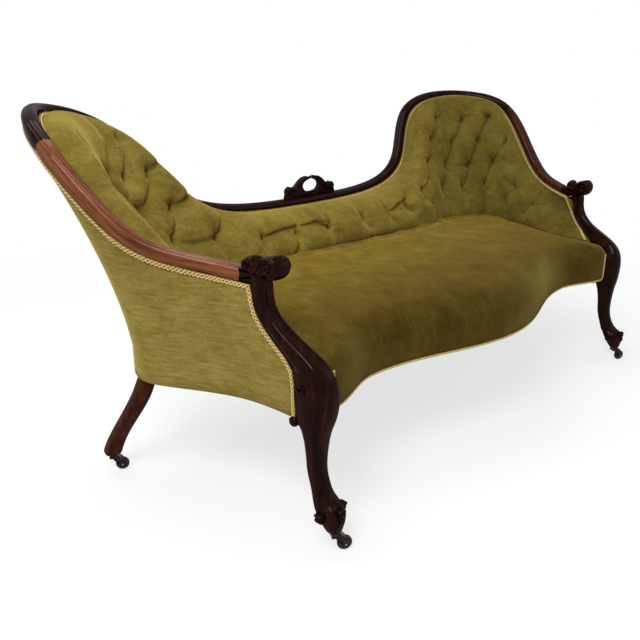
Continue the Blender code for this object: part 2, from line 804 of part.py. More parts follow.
FRONT_RAIL_FACE = FRONT_BORDER + GAP
FRONT_RAIL_END = LEG_X + min(s[3] - 0.5 * s[4] for s in LEG if RAIL_BOTTOM - 0.01 < s[0] < RAIL_TOP) - GAP
SEAT_COLUMNS = 28
seat_as = [-1.0 + 2.0 * k / SEAT_COLUMNS for k in range(SEAT_COLUMNS + 1)]
rail_xs = [SEAT_HALF * a for a in seat_as]
rail_xs[0] = -FRONT_RAIL_END
rail_xs[-1] = FRONT_RAIL_END
rail_ys = [front_line(x) + FRONT_RAIL_FACE for x in rail_xs]
rings = []
for x, y in zip(rail_xs, rail_ys):
    rear = y + FRONT_RAIL_THICK
    rings.append([(x, y, RAIL_BOTTOM), (x, rear, RAIL_BOTTOM), (x, rear, RAIL_TOP), (x, y, RAIL_TOP)])
loft("front_seat_rail", rings, BEECH)


def front_rail_rear(x):
    return float(np.interp(x, rail_xs, rail_ys)) + FRONT_RAIL_THICK + GAP


# Inner faces of the seat rails
back_xs = [ring[1][0] for ring in reversed(rear_ring)]
back_ys = [ring[1][1] for ring in reversed(rear_ring)]


def back_rail_front(x):
    return float(np.interp(x, back_xs, back_ys)) - GAP


for name, side in (("right_cross_rail", 1.0), ("left_cross_rail", -1.0)):
    rings = []
    for x in (side * (CROSS_RAIL_X - 0.5 * CROSS_RAIL_WIDTH), side * (CROSS_RAIL_X + 0.5 * CROSS_RAIL_WIDTH)):
        y0 = front_rail_rear(x)
        y1 = back_rail_front(x)
        z0 = RAIL_BOTTOM + 0.008
        z1 = RAIL_TOP - 0.012
        rings.append([(x, y0, z0), (x, y1, z0), (x, y1, z1), (x, y0, z1)])
    loft(name, rings, BEECH)

side_ys = [ring[1][1] for ring in right_side]
side_xs = [ring[1][0] for ring in right_side]


def side_rail_inner(y):
    return float(np.interp(y, side_ys, side_xs)) - 4.0 * GAP


BLOCK_RUN = 0.060
for name, side in (("right_corner_block", 1.0), ("left_corner_block", -1.0)):
    x0 = FRONT_RAIL_END - BLOCK_RUN
    y0 = front_rail_rear(FRONT_RAIL_END)
    outline = [(side * x0, front_rail_rear(x0)), (side * FRONT_RAIL_END, y0)]
    outline.append((side * side_rail_inner(y0 + 0.004), y0 + 0.004))
    outline.append((side * side_rail_inner(y0 + BLOCK_RUN), y0 + BLOCK_RUN))
    finish(name, prism_mesh(outline, RAIL_BOTTOM + 0.008, RAIL_TOP - 0.006), BEECH)


# Back frame inside the wall, each post behind one pair of panel columns
def post(name, s):
    order = sorted(side_s + mid_s)
    k = int(np.argmin([abs(0.5 * (a + b) - s) for a, b in zip(order, order[1:])]))
    us = [u_of_s(order[k]), u_of_s(order[k + 1])]
    far = RAIL_FACE + POST_THICK
    levels = [0.0, 0.2, 0.4, 0.6, 0.8, 1.0]
    rows = {}
    for d in (RAIL_FACE, far):
        rows[d] = [[wall(u, w, d) for w in levels] for u in us]
        for column in rows[d]:
            column[0][2] = RAIL_TOP + GAP
    return rows[far], rows[RAIL_FACE]


def pair_of_posts(name, s):
    front, back = post(name, s)
    slab("right_" + name, front, back, BEECH)
    slab("left_" + name, flipped(front), flipped(back), BEECH)


pair_of_posts("spoon_post", s_of_u(knots[6]))
pair_of_posts("centre_upright", s_of_u(knots[9]))


# Plan of the seat: a patch between the front line and the wall, inset from both
U_CORNER = knots[5]


def patch(side_inset, front_inset, start_x, front_limit=-1.0):
    def rim(u):
        base, along, inward = base_frame(u)
        depth = side_inset(u) if callable(side_inset) else side_inset
        p = base + inward * depth
        return np.array((p[0], p[1]))

    def front(a):
        x = start_x * a
        return np.array((x, max(front_line(x) + front_inset, front_limit)))

    def side(b):
        corner = front(1.0)
        first = rim(0.0)
        step = np.linalg.norm(first - corner)
        total = step + np.linalg.norm(rim(U_CORNER) - first)
        t = step / total
        if b <= t:
            return corner + (first - corner) * (b / t)
        return rim(U_CORNER * (b - t) / (1.0 - t))

    def rear(a):
        return rim(1.0 + (U_CORNER - 1.0) * a)

    c_f = front(1.0)
    c_b = rim(U_CORNER)
    flip = np.array((-1.0, 1.0))

    def at(a, b):
        k = 0.5 * (a + 1.0)
        edge = side(b)
        p = (1.0 - b) * front(a) + b * rear(a) + (1.0 - k) * edge * flip + k * edge
        p = p - (1.0 - b) * ((1.0 - k) * c_f * flip + k * c_f) - b * ((1.0 - k) * c_b * flip + k * c_b)
        return p

    return at


# Seat pad: front border, rolled edge and crown
seat_plan = patch(lambda u: pad_depth(u) + SEAT_CLEARANCE, 0.0, SEAT_HALF)
ROLL = ((0.296, 0.0), (0.322, 0.006), (0.354, 0.009), (0.386, 0.004))
ROLL_TOP = ROLL[-1][0]
SEAT_ROWS = (0.02, 0.07, 0.16, 0.30, 0.48, 0.66, 0.82, 0.94, 1.0)


def seat_column(a):
    outer = []
    inner = []
    x, y = seat_plan(a, 0.0)
    narrow = smooth((1.0 - abs(a)) / 0.20)
    for z, forward in ROLL:
        outer.append((x, y - forward * narrow, z))
    for z in (0.296, 0.320, 0.340, PAD_BOTTOM):
        inner.append((x, y + FRONT_BORDER, z))
    for b in SEAT_ROWS:
        px, py = seat_plan(a, b)
        roll = 1.0 - math.exp(-b / 0.022)
        crown = SEAT_CROWN * (1.0 - (2.0 * b - 1.02) ** 4) * (1.0 - 0.5 * abs(a) ** 4)
        edge = SEAT_EDGE - 0.010 * (1.0 - smooth((1.0 - abs(a)) / 0.10))
        z = ROLL_TOP + (edge - ROLL_TOP) * roll + max(0.0, crown) * roll
        outer.append((px, py, z))
        inset = max(b, 0.035)
        qx, qy = seat_plan(a, inset)
        inner.append((qx, max(qy, y + FRONT_BORDER + 0.002) if b < 0.1 else qy, PAD_BOTTOM))
    return outer, inner


seat_outer = []
seat_inner = []
for a in seat_as:
    outer, inner = seat_column(a)
    seat_outer.append(outer)
    seat_inner.append(inner)
slab("seat_pad", seat_outer, seat_inner, VELVET)


# Flat layers of the seat
def rim_outline(plan, columns, rows):
    pts = [plan(-1.0 + 2.0 * k / columns, 0.0) for k in range(columns)]
    pts += [plan(1.0, k / rows) for k in range(rows)]
    pts += [plan(1.0 - 2.0 * k / columns, 1.0) for k in range(columns)]
    pts += [plan(-1.0, 1.0 - k / rows) for k in range(rows)]
    return pts


deck_plan = patch(0.020, FRONT_BORDER + 0.003, SEAT_HALF, KNEE_REAR + 0.002)
deck = rim_outline(deck_plan, 24, 8)
finish("seat_hessian", prism_mesh(deck, RAIL_TOP + GAP, RAIL_TOP + GAP + HESSIAN_THICK), JUTE)

WEB_INSET = RAIL_FACE + LEG_BLOCK_THICK + 0.0015
WEB_FRONT = FRONT_RAIL_FACE + FRONT_RAIL_THICK - 0.005
web_plan = patch(WEB_INSET, WEB_FRONT, BASE_X - WEB_INSET)
WEB_COLUMNS = 13
WEB_ROWS = 7
bm = bmesh.new()
net = []
for i in range(WEB_COLUMNS + 1):
    column = []
    for j in range(WEB_ROWS + 1):
        p = web_plan(-1.0 + 2.0 * i / WEB_COLUMNS, j / WEB_ROWS)
        column.append(bm.verts.new((p[0], p[1], RAIL_BOTTOM - GAP)))
    net.append(column)
for i in range(WEB_COLUMNS):
    for j in range(WEB_ROWS):
        if i % 2 == 0 or j % 2 == 0:
            bm.faces.new((net[i][j], net[i + 1][j], net[i + 1][j + 1], net[i][j + 1]))
web = finish("seat_webbing", bm, JUTE)
if web.data.polygons[0].normal[2] < 0.0:
    web.data.flip_normals()
thick = web.modifiers.new("thick", "SOLIDIFY")
thick.thickness = WEB_THICK
thick.offset = -1.0

WEB_BOTTOM = RAIL_BOTTOM - GAP - WEB_THICK
dust = rim_outline(web_plan, 22, 8)
finish("dust_cover", prism_mesh(dust, WEB_BOTTOM - GAP - DUST_THICK, WEB_BOTTOM - GAP), CALICO)


# Coil springs between webbing and hessian
SPRING_RADIUS = 0.034
SPRING_WIRE = 0.002
SPRING_TURNS = 2.5
SPRING_LOW = RAIL_BOTTOM - GAP + SPRING_WIRE + GAP
SPRING_HIGH = RAIL_TOP + GAP - SPRING_WIRE - GAP


def spring(name, a, b):
    x, y = web_plan(a, b)
    curve = bpy.data.curves.new(name, "CURVE")
    curve.dimensions = "3D"
    line = curve.splines.new("POLY")
    count = int(SPRING_TURNS * 8) + 1
    line.points.add(count - 1)
    for k in range(count):
        angle = 2.0 * math.pi * k / 8.0
        z = SPRING_LOW + (SPRING_HIGH - SPRING_LOW) * k / (count - 1)
        px = SPRING_RADIUS * math.cos(angle)
        py = SPRING_RADIUS * math.sin(angle)
        line.points[k].co = (px, py, z, 1.0)
    curve.bevel_depth = SPRING_WIRE
    curve.bevel_resolution = 0
    curve.use_fill_caps = True
    holder = bpy.data.objects.new(name + "_line", curve)
    mesh = bpy.data.meshes.new_from_object(holder)
    bm = bmesh.new()
    bm.from_mesh(mesh)
    bpy.data.objects.remove(holder, do_unlink=True)
    return finish(name, bm, STEEL, origin=(x, y, 0.0))


def strip_a(column):
    return -1.0 + (2.0 * column + 1.0) / WEB_COLUMNS


def strip_b(row):
    return (row + 0.5) / WEB_ROWS


spring("spring_1", strip_a(2), strip_b(2))
spring("spring_2", strip_a(2), strip_b(4))
spring("spring_3", strip_a(6), strip_b(2))
spring("spring_4", strip_a(6), strip_b(4))
spring("spring_5", strip_a(10), strip_b(2))
spring("spring_6", strip_a(10), strip_b(4))
print("least gap of a spring to itself", (SPRING_HIGH - SPRING_LOW) / SPRING_TURNS - 2.0 * SPRING_WIRE)


# Gimp braid: three-cornered rings laid on a face
def down(column, length):
    # point at a length below the top of a column, no lower than its next point
    top = np.asarray(column[-1])
    step = np.asarray(column[-2]) - top
    return top + step * min(1.0, length / np.linalg.norm(step))


INNER_LIFT = 0.0026
INNER_DROP = 0.0014
OUTER_LIFT = 0.0007
FRONT_LIFT = 0.0005


def strip_ring(edge, inner, normal, lift):
    middle_line = 0.5 * (edge + inner)
    return [edge + normal * lift, middle_line + normal * (lift + GIMP_THICK), inner + normal * lift]


def face_gimp(columns, us, first_row, inside):
    # up the stump beside the first column, then along under the rail
    sign = 1.0 if inside else -1.0
    lift = INNER_LIFT if inside else OUTER_LIFT
    rings = []
    lead = columns[0]
    beside = columns[1]
    base, along, inward = base_frame(us[0])
    for j in range(first_row, len(lead) - 1):
        p = np.asarray(lead[j])
        q = np.asarray(beside[j])
        rings.append(strip_ring(p, p + unit(q - p) * GIMP_WIDTH, inward * sign, lift))
    tops = [np.asarray(column[-1]) for column in columns]
    for k, (u, column) in enumerate(zip(us, columns)):
        p, tangent, outward, upward = rail_frame(u)
        top = tops[k] - upward * (INNER_DROP * (1.0 - smooth(u / 0.2)) if inside else 0.0)
        low = down(column, GIMP_WIDTH)
        edge = tops[min(k + 1, len(tops) - 1)] - tops[max(k - 1, 0)]
        normal = unit(np.cross(edge, low - top))
        if np.dot(normal, outward) * sign > 0.0:
            normal = -normal
        if k == 0:
            aside = down(beside, GIMP_WIDTH)
            low = low + unit(aside - low) * GIMP_WIDTH
            normal = unit(normal + inward * sign)
        rings.append(strip_ring(top, low, normal, lift))
    return rings


def outer_gimp():
    us = sorted(side_u) + sorted(u for u in mid_u if u < 1.0 - 1e-6)[1:]
    us.append(1.0 - 2.0 * HALF_GAP)
    rings = face_gimp(cover_columns(us, 0.0), us, 0, False)[::-1]
    loft("right_outer_gimp", rings, BRAID)
    loft("left_outer_gimp", flipped(rings), BRAID)


outer_gimp()

inner_half = right_u[::-1] + [u for u in centre_u if u_of_s(SPLIT) < u < 1.0 + 1e-6]
inner_half = sorted(inner_half)
inner_half[-1] = 1.0 - HALF_GAP
columns = [pad_column(u) for u in inner_half]
half_rings = face_gimp(columns, inner_half, 4, True)[::-1]
loft("right_inner_gimp", half_rings, BRAID)
loft("left_inner_gimp", flipped(half_rings), BRAID)


# Front braid: up the leg, along the front edge, up the other leg
def front_gimp():
    rings = []
    ahead = np.array((0.0, -1.0, 0.0))
    first = [np.asarray(p) for p in seat_outer[0]]
    second = [np.asarray(p) for p in seat_outer[1]]
    for j in (3, 2, 1):
        rings.append(strip_ring(first[j], first[j] + unit(second[j] - first[j]) * GIMP_WIDTH, ahead, FRONT_LIFT))
    for k, column in enumerate(seat_outer):
        p = np.asarray(column[0])
        q = np.asarray(column[1])
        up = p + (q - p) * (GIMP_WIDTH / np.linalg.norm(q - p))
        if k in (0, len(seat_outer) - 1):
            side = seat_outer[1] if k == 0 else seat_outer[-2]
            share = GIMP_WIDTH / np.linalg.norm(q - p)
            aside = np.asarray(side[0]) + (np.asarray(side[1]) - np.asarray(side[0])) * share
            up = up + unit(aside - up) * GIMP_WIDTH
        rings.append(strip_ring(p, up, ahead, FRONT_LIFT))
    last = [np.asarray(p) for p in seat_outer[-1]]
    before = [np.asarray(p) for p in seat_outer[-2]]
    for j in (1, 2, 3):
        rings.append(strip_ring(last[j], last[j] + unit(before[j] - last[j]) * GIMP_WIDTH, ahead, FRONT_LIFT))
    return loft("front_gimp", rings, BRAID)


front_gimp()


# Crest: two leaf scrolls meeting over a pierced oval, standing on the centre rail
CREST_HALF = 0.120
CREST_RISE = 0.064
CREST_THICK = 0.018
CREST_HOLE = 0.026


def crest():
    p, tangent, outward, upward = rail_frame(1.0)
    seat = RAIL_SECTION[5][1] + GAP + 0.0005
    outline = []
    for k in range(-4, 5):
        outline.append((CREST_HALF * 0.80 * k / 4.0, seat))
    edge = ((0.93, 0.06), (1.0, 0.21), (0.95, 0.36), (0.82, 0.40), (0.73, 0.29), (0.62, 0.38), (0.52, 0.62))
    edge += ((0.38, 0.82), (0.20, 0.87), (0.07, 1.0))
    outline += [(CREST_HALF * x, seat + CREST_RISE * z) for x, z in edge]
    outline += [(-x, z) for x, z in reversed(outline[9:])]
    rings = []
    for depth in (-0.5 * CREST_THICK, 0.5 * CREST_THICK):
        ring = []
        for x, z in outline:
            q = p + np.array((x, 0.0, 0.0)) + upward * z + outward * (depth + 0.0055)
            ring.append(q)
        rings.append(ring)
    body = loft("crest_carving", rings, WOOD)
    hole = []
    for depth in (-CREST_THICK, CREST_THICK):
        ring = []
        for k in range(14):
            angle = 2.0 * math.pi * k / 14.0
            x = 1.35 * CREST_HOLE * math.cos(angle)
            z = seat + 0.45 * CREST_RISE + 0.62 * CREST_HOLE * math.sin(angle)
            ring.append(p + np.array((x, 0.0, 0.0)) + upward * z + outward * (depth + 0.0055))
        hole.append(ring)
    cut(body, finish("crest_hole", loft_mesh(hole), None, cutter=True))


crest()


# Castors
along_trail = np.array((TRAIL_X, TRAIL_Y, 0.0))
along_axle = np.array((-TRAIL_Y, TRAIL_X, 0.0))
PLATE_TOP = FOOT_BOTTOM - GAP
PLATE_BOTTOM = PLATE_TOP - 0.005
PLATE_RADIUS = 0.0135
COLLAR_TOP = PLATE_BOTTOM - GAP
COLLAR_BOTTOM = COLLAR_TOP - 0.0102
HEAD_LOW = COLLAR_BOTTOM - 0.0028
HORN = (
    (-0.009, COLLAR_TOP), (0.009, COLLAR_TOP), (0.015, COLLAR_TOP - 0.004), (0.025, 0.031), (0.0285, 0.020),
    (0.027, 0.012), (0.022, 0.0095), (0.017, 0.012), (0.0155, 0.020), (0.009, 0.031), (0.003, COLLAR_BOTTOM),
    (-0.009, COLLAR_BOTTOM),
)


def local_box(name, t0, t1, half, z0, z1, place):
    rings = []
    for t in (t0, t1):
        rings.append([
            along_trail * t - along_axle * half + np.array((0, 0, z0)),
            along_trail * t + along_axle * half + np.array((0, 0, z0)),
            along_trail * t + along_axle * half + np.array((0, 0, z1)),
            along_trail * t - along_axle * half + np.array((0, 0, z1)),
        ])
    return finish(name, loft_mesh(rings), None, origin=place, cutter=True)


def rod_rings(radius, half, sides, t, z):
    rings = []
    for s in (-half, half):
        ring = []
        for k in range(sides):
            angle = 2.0 * math.pi * (k + 0.5) / sides
            c = along_trail * (t + radius * math.cos(angle)) + along_axle * s
            ring.append(c + np.array((0.0, 0.0, z + radius * math.sin(angle))))
        rings.append(ring)
    return rings


def castor(prefix, foot):
    place = (foot[0], foot[1], 0.0)
    plate = (
        (0.0, PLATE_TOP), (PLATE_RADIUS, PLATE_TOP), (PLATE_RADIUS, PLATE_BOTTOM + 0.002),
        (PLATE_RADIUS - 0.003, PLATE_BOTTOM), (PINTLE_RADIUS, PLATE_BOTTOM),
        (PINTLE_RADIUS, COLLAR_BOTTOM - GAP), (PINTLE_RADIUS + 0.002, COLLAR_BOTTOM - GAP),
        (PINTLE_RADIUS + 0.002, HEAD_LOW), (0.0, HEAD_LOW),
    )
    turned(prefix + "_castor_plate", plate, 12, IRON, place)
    rings = []
    for s in (-HORN_HALF, HORN_HALF):
        rings.append([along_trail * t + along_axle * s + np.array((0.0, 0.0, z)) for t, z in HORN])
    horn = finish(prefix + "_castor_horn", loft_mesh(rings), IRON, origin=place)
    slot = local_box(prefix + "_slot", 0.002, 0.05, 0.5 * WHEEL_WIDTH + 0.0008, -0.01, COLLAR_BOTTOM, place)
    cut(horn, slot)
    bore = ((0.0, 0.06), (PINTLE_RADIUS + GAP, 0.06), (PINTLE_RADIUS + GAP, 0.02), (0.0, 0.02))
    cut(horn, turned(prefix + "_bore", bore, 12, None, place, cutter=True))
    hole = rod_rings(AXLE_RADIUS + GAP, 2.0 * HORN_HALF, 10, TRAIL, WHEEL_RADIUS)
    cut(horn, finish(prefix + "_axle_bore", loft_mesh(hole), None, origin=place, cutter=True))
    centre = np.array(place) + along_trail * TRAIL + np.array((0.0, 0.0, WHEEL_RADIUS))
    rod = rod_rings(AXLE_RADIUS, HORN_HALF + 0.0005, 10, 0.0, 0.0)
    finish(prefix + "_castor_axle", loft_mesh(rod), STEEL, origin=tuple(centre))
    half = 0.5 * WHEEL_WIDTH
    bore = AXLE_RADIUS + GAP
    tread = (
        (bore, half), (0.010, half), (WHEEL_RADIUS - 0.0015, half - 0.002), (WHEEL_RADIUS, half - 0.0040),
        (WHEEL_RADIUS, -half + 0.0040), (WHEEL_RADIUS - 0.0015, -half + 0.002), (0.010, -half), (bore, -half),
    )
    wheel = turned(prefix + "_castor_wheel", tread, 16, CHINA, tuple(centre))
    wheel.rotation_euler = (math.pi / 2.0, 0.0, math.atan2(along_trail[1], along_trail[0]))


castor("front_right", FRONT_FOOT)
castor("front_left", (-FRONT_FOOT[0], FRONT_FOOT[1]))
castor("back_right", BACK_FOOT)
castor("back_left", (-BACK_FOOT[0], BACK_FOOT[1]))
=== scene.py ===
"""Looks of the spoon-back settee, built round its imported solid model."""
import math

import bmesh
import bpy
import numpy as np
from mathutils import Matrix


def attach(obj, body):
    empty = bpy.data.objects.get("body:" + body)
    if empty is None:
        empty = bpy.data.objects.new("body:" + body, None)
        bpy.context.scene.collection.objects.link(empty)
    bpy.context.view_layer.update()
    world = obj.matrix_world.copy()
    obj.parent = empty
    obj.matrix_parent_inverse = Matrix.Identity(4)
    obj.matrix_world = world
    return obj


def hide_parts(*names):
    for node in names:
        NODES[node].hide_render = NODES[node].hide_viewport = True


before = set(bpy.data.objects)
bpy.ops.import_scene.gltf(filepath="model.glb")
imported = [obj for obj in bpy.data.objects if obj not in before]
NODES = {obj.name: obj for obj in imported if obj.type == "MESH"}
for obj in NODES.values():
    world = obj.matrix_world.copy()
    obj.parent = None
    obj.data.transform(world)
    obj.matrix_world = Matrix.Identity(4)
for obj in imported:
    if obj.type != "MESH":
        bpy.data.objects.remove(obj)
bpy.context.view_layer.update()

# Sizes in metres, those of the solid model, but the seat is narrower at its ends and closer to the back
ARM_X = 0.757
ARM_Y = -0.194
ARM_HEIGHT = 0.575
REACH = 0.973
SPOON_HEIGHT = 0.888
CENTRE_HEIGHT = 0.574
CENTRE_Y = 0.335
BASE_X = 0.76
BASE_BACK = 0.255
RAIL_TOP = 0.352
FRONT_BULGE = -0.439
FRONT_HOLLOW = -0.337
HOLLOW_X = 0.49
FRONT_END = -0.392
SEAT_HALF = 0.6955
GAP = 0.0003
SEAT_CLEARANCE = 0.0015
PAD_EASE = 0.002
STUMP_EASE = 0.0045
COVER_THICK = 0.0025
POST_THICK = 0.013
COVER_BOTTOM = 0.287
PAD_BOTTOM = RAIL_TOP + 2 * GAP + 0.0015
PAD_LINE = 0.424
SEAT_EDGE = 0.417
SEAT_CROWN = 0.034
FRONT_BORDER = 0.014
ARM_PAD = 0.06
PAD_THIN = 0.02
BACK_PAD = 0.08
BACK_CROWN = 0.048
GIMP_WIDTH = 0.012
WALL_SWEEP = 1.45
RAIL_OUT = 0.0155
RAIL_UNDER = 0.0188
RAIL_FRONT = RAIL_OUT + 0.0175
FOOT_BOTTOM = 0.052
BACK_FOOT = (0.884, 0.19)
ARM_BLEND = 0.16
FLIP = np.array((-1, 1, 1))

LINE = (
    ((ARM_X, ARM_Y, ARM_HEIGHT), (BASE_X, -0.3415)),
    ((ARM_X + 0.046, ARM_Y + 0.077, ARM_HEIGHT + 0.016), (BASE_X + 0.003, -0.24)),
    ((ARM_X + 0.121, ARM_Y + 0.168, ARM_HEIGHT + 0.05), (BASE_X + 0.03, -0.14)),
    ((REACH - 0.026, 0.084, ARM_HEIGHT + 0.158), (BASE_X + 0.088, -0.02)),
    ((REACH, 0.211, SPOON_HEIGHT - 0.036), (BASE_X + 0.102, 0.075)),
    ((REACH - 0.05, 0.33, SPOON_HEIGHT - 0.003), (BASE_X + 0.05, 0.16)),
    ((REACH - 0.123, 0.416, SPOON_HEIGHT - 0.001), (BASE_X - 0.035, BASE_BACK - 0.042)),
    ((REACH - 0.313, 0.449, SPOON_HEIGHT - 0.062), (BASE_X - 0.19, BASE_BACK - 0.012)),
    ((REACH - 0.447, CENTRE_Y + 0.053, SPOON_HEIGHT - 0.227), (BASE_X - 0.31, BASE_BACK - 0.005)),
    ((REACH - 0.709, CENTRE_Y + 0.017, CENTRE_HEIGHT + 0.003), (BASE_X - 0.51, BASE_BACK)),
    ((0.1, CENTRE_Y, CENTRE_HEIGHT), (0.1, BASE_BACK)),
)


# Curves of the frame
def smooth(t):
    t = np.clip(t, 0, 1)
    return t * t * (3 - 2 * t)


def unit(v):
    v = np.asarray(v, float)
    return v / np.maximum(np.linalg.norm(v, axis=-1, keepdims=True), 1e-12)


def points(*axes):
    # points from their x, y and z, which may be grids, lines or single values
    return np.stack(np.broadcast_arrays(*axes), -1)


def square_to(v, line):
    # the part of v that is square to a direction, as a unit vector
    return unit(v - line * np.sum(v * line, axis=-1, keepdims=True))


def lengths(points):
    # how far along a line each of its points is
    return np.concatenate(([0], np.cumsum(np.linalg.norm(np.diff(points, axis=0), axis=1))))


def spline(knots, points):
    t = np.asarray(knots, float)
    p = np.asarray(points, float)
    n = len(t)
    h = np.diff(t)
    a = np.eye(n)
    b = np.zeros_like(p)
    for i in range(1, n - 1):
        a[i, i - 1:i + 2] = (h[i - 1], 2 * (h[i - 1] + h[i]), h[i])
        b[i] = 6 * ((p[i + 1] - p[i]) / h[i] - (p[i] - p[i - 1]) / h[i - 1])
    m = np.linalg.solve(a, b)

    def at(x):
        x = np.atleast_1d(np.asarray(x, float))
        i = np.clip(np.searchsorted(t, x) - 1, 0, n - 2)
        d = h[i][:, None]
        s = (t[i + 1] - x)[:, None] / d
        r = (x - t[i])[:, None] / d
        return s * p[i] + r * p[i + 1] + ((s ** 3 - s) * m[i] + (r ** 3 - r) * m[i + 1]) * d * d / 6

    return at


right_rail = [np.array(s[0]) for s in LINE]
right_base = [np.array(s[1]) for s in LINE]
run = lengths(right_rail)
half_run = run[-1] + right_rail[-1][0]
knots = list(run / half_run)
knots = knots + [2 - k for k in reversed(knots)]
rail_at = spline(knots, right_rail + [p * FLIP for p in reversed(right_rail)])
base_at = spline(knots, right_base + [p * FLIP[:2] for p in reversed(right_base)])


def course(curve, us):
    # direction of a curve that runs from 0 at the right arm to 2 at the left
    step = 0.002
    return unit(curve(np.minimum(2, us + step)) - curve(np.maximum(0, us - step)))


def rail_frames(us):
    tangent = course(rail_at, us)
    outward = unit(points(tangent[:, 1], -tangent[:, 0], 0))
    upward = np.cross(outward, tangent)
    upward = upward * np.where(upward[:, 2:] < 0, -1, 1)
    return rail_at(us), tangent, outward, upward


def base_frames(us):
    t = course(base_at, us)
    return points(*base_at(us).T, 0), points(-t[:, 1], t[:, 0], 0)


def rail_underside(us):
    p, _, _, upward = rail_frames(us)
    return p - upward * (RAIL_UNDER + GAP)


# Distance along the back from its middle, taken halfway up the wall
U_TABLE = np.linspace(1, 0, 401)
half_way = 0.5 * (rail_at(U_TABLE) + points(*base_at(U_TABLE).T, RAIL_TOP))
S_TABLE = lengths(half_way)
S_END = S_TABLE[-1]


def u_of_s(s):
    u = np.interp(np.abs(s), S_TABLE, U_TABLE)
    return np.where(s >= 0, u, 2 - u)


def s_of_u(u):
    s = np.interp(near_end(u), U_TABLE[::-1], S_TABLE[::-1])
    return np.where(u <= 1, s, -s)


def near_end(us):
    return 1 - np.abs(us - 1)


# Front leg sections from the foot up: height, front, rear, middle in x, width, squareness of the rear
LEG = np.array((
    (FOOT_BOTTOM, -0.461, -0.43, 0.742, 0.036, 2.4),
    (0.064, -0.464, -0.421, 0.742, 0.046, 2.4),
    (0.08, -0.465, -0.412, 0.741, 0.057, 2.4),
    (0.094, -0.461, -0.404, 0.741, 0.061, 2.4),
    (0.106, -0.449, -0.399, 0.74, 0.052, 2.4),
    (0.12, -0.435, -0.393, 0.74, 0.0445, 2.4),
    (0.142, -0.422, -0.384, 0.739, 0.0425, 2.4),
    (0.17, -0.414, -0.375, 0.739, 0.043, 2.4),
    (0.205, -0.413, -0.371, 0.739, 0.045, 2.4),
    (0.24, -0.416, -0.367, 0.738, 0.051, 2.6),
    (0.268, -0.421, -0.362, 0.737, 0.058, 3.5),
    (0.286, -0.426, -0.358, 0.736, 0.064, 8),
    (0.31, -0.43, -0.355, 0.735, 0.071, 8),
    (0.335, -0.432, -0.353, 0.735, 0.074, 8),
    (0.365, -0.43, -0.352, 0.736, 0.07, 8),
    (0.392, -0.421, -0.349, 0.738, 0.061, 8),
    (0.415, -0.402, -0.33, 0.74, 0.052, 8),
    (0.438, -0.367, -0.301, 0.743, 0.044, 8),
    (0.464, -0.321, -0.272, 0.746, 0.04, 8),
    (0.493, -0.285, -0.251, 0.749, 0.037, 8),
    (0.526, -0.269, -0.238, 0.751, 0.036, 8),
    (0.556, -0.267, -0.231, 0.751, 0.036, 8),
    (0.575, -0.267, -0.231, 0.751, 0.036, 8),
))


def stump_rear(z):
    return np.interp(z, LEG[:, 0], LEG[:, 2]) + STUMP_EASE


def settle(us, grid, shift, w):
    # near the arm the covers run forward to the rear face of the stump, their tops along the rail
    along = rail_frames(np.where(near_end(us) < ARM_BLEND, 0.7 * near_end(us), 0))[1]
    along = along / along[:, 1:2]
    along[:, 0] *= np.where(us > 1, -1, 1)
    cube = (w ** 3)[..., None]
    heading = np.array((0, 1, 0)) * (1 - cube) + along[:, None] * cube
    amount = shift * (1 - smooth(near_end(us) / ARM_BLEND))[:, None]
    return grid + heading * amount[..., None]


def pad_depth(us):
    return ARM_PAD + (BACK_PAD - ARM_PAD) * smooth(near_end(us) / 0.3)


# Outer and inner faces of the wall, grids of points [column][row]
def bare_wall(us, w, d):
    base, inward = base_frames(us)
    top = rail_underside(us) + rail_frames(us)[2] * (RAIL_OUT - d)
    low = base + inward * d
    grid = low[:, None] + (top - low)[:, None] * (w ** WALL_SWEEP)[:, None]
    grid[:, :, 2] = RAIL_TOP + w * (top[:, 2] - RAIL_TOP)[:, None]
    return grid


def wall(us, w, d):
    start = bare_wall(np.array((0,)), w, d)[0]
    shift = stump_rear(start[:, 2]) - start[:, 1]
    rows = np.broadcast_to(w, (len(us), len(w)))
    return settle(us, bare_wall(us, w, d), np.broadcast_to(shift, rows.shape), rows)


# Meshes from rings and tubes
def loft(rings):
    # closed rings joined in order, each end filled
    rings = np.asarray(rings, float)
    n, m = rings.shape[:2]
    here = m * np.arange(n - 1)[:, None] + np.arange(m)
    beside = m * np.arange(n - 1)[:, None] + (np.arange(m) + 1) % m
    faces = points(here, here + m, beside + m, beside).reshape(-1, 4).tolist()
    faces.append(list(range(m - 1, -1, -1)))
    faces.append(list(range((n - 1) * m, n * m)))
    return rings.reshape(-1, 3), faces


def cord(path, a, b, radius, sides):
    # round rings about a line of points, in the directions a and b
    angle = 2 * np.pi * np.arange(sides) / sides
    ring = a[:, None] * np.cos(angle)[:, None] + b[:, None] * np.sin(angle)[:, None]
    radius = np.broadcast_to(np.asarray(radius, float), (len(path),))
    return loft(path[:, None] + ring * radius[:, None, None])


def tube(path, radius, sides=8, sideways=False):
    # a cord whose rings all start at +x, or else turn with the line
    t = unit(np.gradient(path, axis=0))
    start = np.array((1, 0, 0) if sideways or abs(t[0, 2]) > 0.9 else (0, 0, 1))
    normal = np.zeros_like(t)
    for k in range(len(t)):
        lead = start if sideways or k == 0 else normal[k - 1]
        normal[k] = square_to(lead, t[k])
    return cord(path, normal, np.cross(t, normal), radius, sides)


